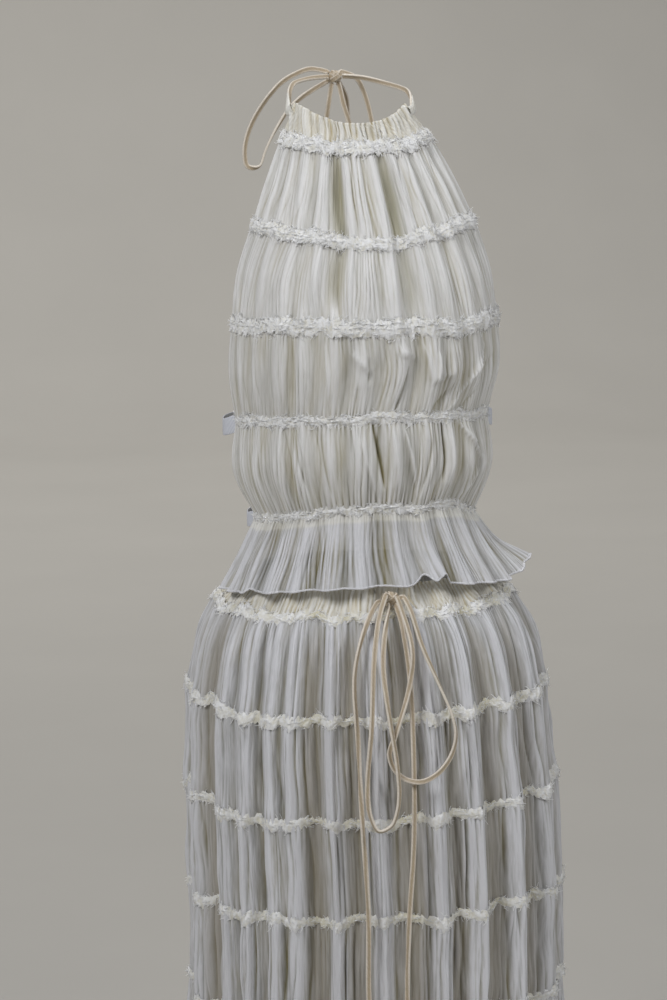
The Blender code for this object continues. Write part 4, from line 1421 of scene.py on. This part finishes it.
class DRESS_OT_straps(bpy.types.Operator):
    """Add the two elastic back straps, and the folded edge of the lining under the waist seam"""

    bl_idname = "dress.straps"
    bl_label = "Straps and lining edge"

    def execute(self, context):
        material = make_material("strap_elastic")
        for strap in STRAPS:
            row = TOP_ROWS[strap.row]
            gap = math.degrees(2 * SEAM_GAP / row.depth)
            first, last = row.left_edge + gap, 360 - row.right_edge - gap
            along = 0.5 - 0.5 * np.cos(math.pi * np.linspace(0, 1, 180))
            angle = np.radians(first + (last - first) * along)
            x, y, nx, ny = outline(angle, row.half_width, row.depth, strap.back_depth)
            rise = np.clip(np.minimum(along, 1 - along) / STRAP_RAMP, 0, 1)
            rise = rise * rise * (3 - 2 * rise)
            out = strap.body_out * rise - STRAP_HALF_THICKNESS
            z = row_height(angle, row.side_z, row.front_z) + strap.top - strap.drop * rise
            path = np.column_stack([x + nx * out + row.middle, y + ny * out, z - strap.width / 2])
            t = np.arange(20) / 20 * TAU
            a = strap.width / 2 * np.sign(np.cos(t)) * np.abs(np.cos(t)) ** 0.35
            b = STRAP_HALF_THICKNESS * np.sign(np.sin(t)) * np.abs(np.sin(t)) ** 0.6
            rings = swept(path, (0, 0, 1), np.column_stack([a, b]))
            surface = grid(rings, around=True, run=capped(run_of(path)), down=a, fold=0.2)
            name = f"back_strap_{strap.name}"
            add_piece(f"elastic_{name}", surface, material, [name])

        row = TOP_ROWS["frill_5"]
        inset = row.fold * max(fold.flare for fold in TOP_FOLDS) + CLOTH + SEAM_GAP
        angle = np.radians(np.linspace(-row.right_edge, row.left_edge, 300))
        x, y, nx, ny = outline(angle, row.half_width, row.depth, row.depth)
        top = row_height(angle, row.side_z, row.front_z) - SEAM_GAP
        fall = LINING_BAND_HEIGHT * np.array([0, 0.3, 0.6, 0.9, 1, 1, 0.9, 0.6, 0.35])
        behind = np.array([0, 0, 0, 0, 0.15, 0.85, 1, 1, 1]) + inset
        back = behind[:, None] + 0.5 * (noise(np.degrees(angle) / 3, 0, 9) - 0.5)
        points = np.stack(
            [x + row.middle - nx * back, y - ny * back, top - fall[:, None] + 0 * x], axis=-1
        )
        surface = grid(points, run=run_of(points[0]), down=fall[:, None], fold=0.12)
        slot = "lined_ivory_crinkle"
        material = make_material(slot)
        piece = add_piece("folded_lining_edge", surface, material, ["lining_edge"])
        return {"FINISHED"}


# The camera's lens and sensor in millimetres, its distance from the body's axis and its height in
# metres, and in degrees the side that it stands on, its heading, pitch and roll
CAMERA_LENS = 108.0
CAMERA_SENSOR = 36.0
CAMERA_DISTANCE = 3.0
CAMERA_HEIGHT = 0.0736
CAMERA_ANGLES = (-10.0, 9.4, -9.0, 1.0)

# How far the floor lies below the neck's height, in metres
FLOOR_DEPTH = 1.32


def soft_light(name, place, aim, size, power, colour):
    """An oblong area light at a place, turned towards its aim."""
    data = bpy.data.lights.new(name, "AREA")
    data.shape = "RECTANGLE"
    data.size, data.size_y = size
    data.energy = power
    data.color = colour
    light = bpy.data.objects.new(name, data)
    way = np.array(aim, float) - np.array(place, float)
    light.location = place
    light.rotation_mode = "QUATERNION"
    light.rotation_quaternion = Vector(way).to_track_quat("-Z", "Y")
    bpy.context.scene.collection.objects.link(light)


class DRESS_OT_stage(bpy.types.Operator):
    """Add the camera, the pale floor that sweeps up behind, and soft studio lights"""

    bl_idname = "dress.stage"
    bl_label = "Camera, floor and light"

    def execute(self, context):
        scene = context.scene
        data = bpy.data.cameras.new("camera")
        data.lens, data.sensor_width, data.sensor_fit = CAMERA_LENS, CAMERA_SENSOR, "AUTO"
        camera = bpy.data.objects.new("camera", data)
        azimuth, heading, pitch, roll = (math.radians(angle) for angle in CAMERA_ANGLES)
        place = CAMERA_DISTANCE * Vector((math.sin(azimuth), -math.cos(azimuth), 0))
        place.z = CAMERA_HEIGHT
        ahead = Vector((math.sin(heading), math.cos(heading), math.tan(pitch))).normalized()
        level = ahead.cross(Vector((0, 0, 1))).normalized()
        upright = level.cross(ahead)
        right = level * math.cos(roll) - upright * math.sin(roll)
        up = level * math.sin(roll) + upright * math.cos(roll)
        frame_turn = Matrix((right, up, -ahead)).transposed()
        camera.matrix_world = Matrix.Translation(place) @ frame_turn.to_4x4()
        data.clip_start, data.clip_end = 0.05, 60.0
        scene.collection.objects.link(camera)
        scene.camera = camera

        # The floor sweeps up into a backdrop 9 m behind, by a quarter circle of 2 m: a profile of
        # depth and height, carried sideways
        t = np.linspace(0, math.pi / 2, 14)
        depth = np.concatenate([[-9, -1], 7.0 + 2.0 * np.sin(t), [9.0]])
        height = np.concatenate([[0, 0], 2.0 - 2.0 * np.cos(t), [9.0]]) - FLOOR_DEPTH
        side = np.linspace(-11, 11, 25)
        points = np.stack(np.broadcast_arrays(side, depth[:, None], height[:, None]), -1)
        sweep = grid(points[:, ::-1] / MM)
        mesh = bpy.data.meshes.new("floor")
        mesh.from_pydata((sweep.points * MM).tolist(), [], sweep.quads.tolist())
        mesh.polygons.foreach_set("use_smooth", np.ones(len(sweep.quads), bool))
        mesh.materials.append(make_material("studio_floor"))
        floor = bpy.data.objects.new("floor", mesh)
        scene.collection.objects.link(floor)

        middle = (0.0, 0.0, -0.35)
        warm, cool = (1.0, 0.99, 0.97), (0.965, 0.975, 1.0)
        soft_light("key", (-1.8, -1.9, 1.7), middle, (0.9, 1.2), 52, cool)
        soft_light("fill", (2.0, -1.9, 1.5), middle, (0.9, 1.2), 31, cool)
        soft_light("top", (0.2, 0.4, 2.4), middle, (1.6, 1.6), 10, warm)
        soft_light("backdrop_wash", (0.0, 4.5, 6.0), (0.0, 8.7, -0.3), (5.0, 1.5), 350, warm)
        world = bpy.data.worlds.new("studio_air")
        world.use_nodes = True
        air = world.node_tree.nodes["Background"].inputs
        air["Color"].default_value, air["Strength"].default_value = linear("#D9DBDE"), 0.16
        scene.world = world
        scene.view_settings.view_transform = "Standard"
        return {"FINISHED"}


class DRESS_PT_panel(bpy.types.Panel):
    """Buttons and settings of the dress"""

    bl_idname = "DRESS_PT_panel"
    bl_label = "Two-piece halter dress"
    bl_space_type = "VIEW_3D"
    bl_region_type = "UI"
    bl_category = "Dress"

    def draw(self, context):
        layout = self.layout
        for operator in OPERATORS:
            layout.operator(operator.bl_idname)
        for settings in (context.scene.dress_sizes, context.scene.dress_colours):
            for name in settings.bl_rna.properties.keys():
                if name not in ("rna_type", "name"):
                    layout.prop(settings, name)


OPERATORS = (
    DRESS_OT_stage,
    DRESS_OT_cords,
    DRESS_OT_casings,
    DRESS_OT_bodice,
    DRESS_OT_peplum,
    DRESS_OT_skirt,
    DRESS_OT_frills,
    DRESS_OT_straps,
)
CLASSES = (DressSizes, DressColours, *OPERATORS, DRESS_PT_panel)


def register():
    for item in CLASSES:
        bpy.utils.register_class(item)
    bpy.types.Scene.dress_sizes = bpy.props.PointerProperty(type=DressSizes)
    bpy.types.Scene.dress_colours = bpy.props.PointerProperty(type=DressColours)


def unregister():
    del bpy.types.Scene.dress_colours
    del bpy.types.Scene.dress_sizes
    for item in reversed(CLASSES):
        bpy.utils.unregister_class(item)


def main():
    """Registers the classes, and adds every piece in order."""
    register()
    bpy.ops.dress.stage()
    bpy.ops.dress.cords()
    bpy.ops.dress.casings()
    bpy.ops.dress.bodice()
    bpy.ops.dress.peplum()
    bpy.ops.dress.skirt()
    bpy.ops.dress.frills()
    bpy.ops.dress.straps()


if __name__ == "__main__":
    main()
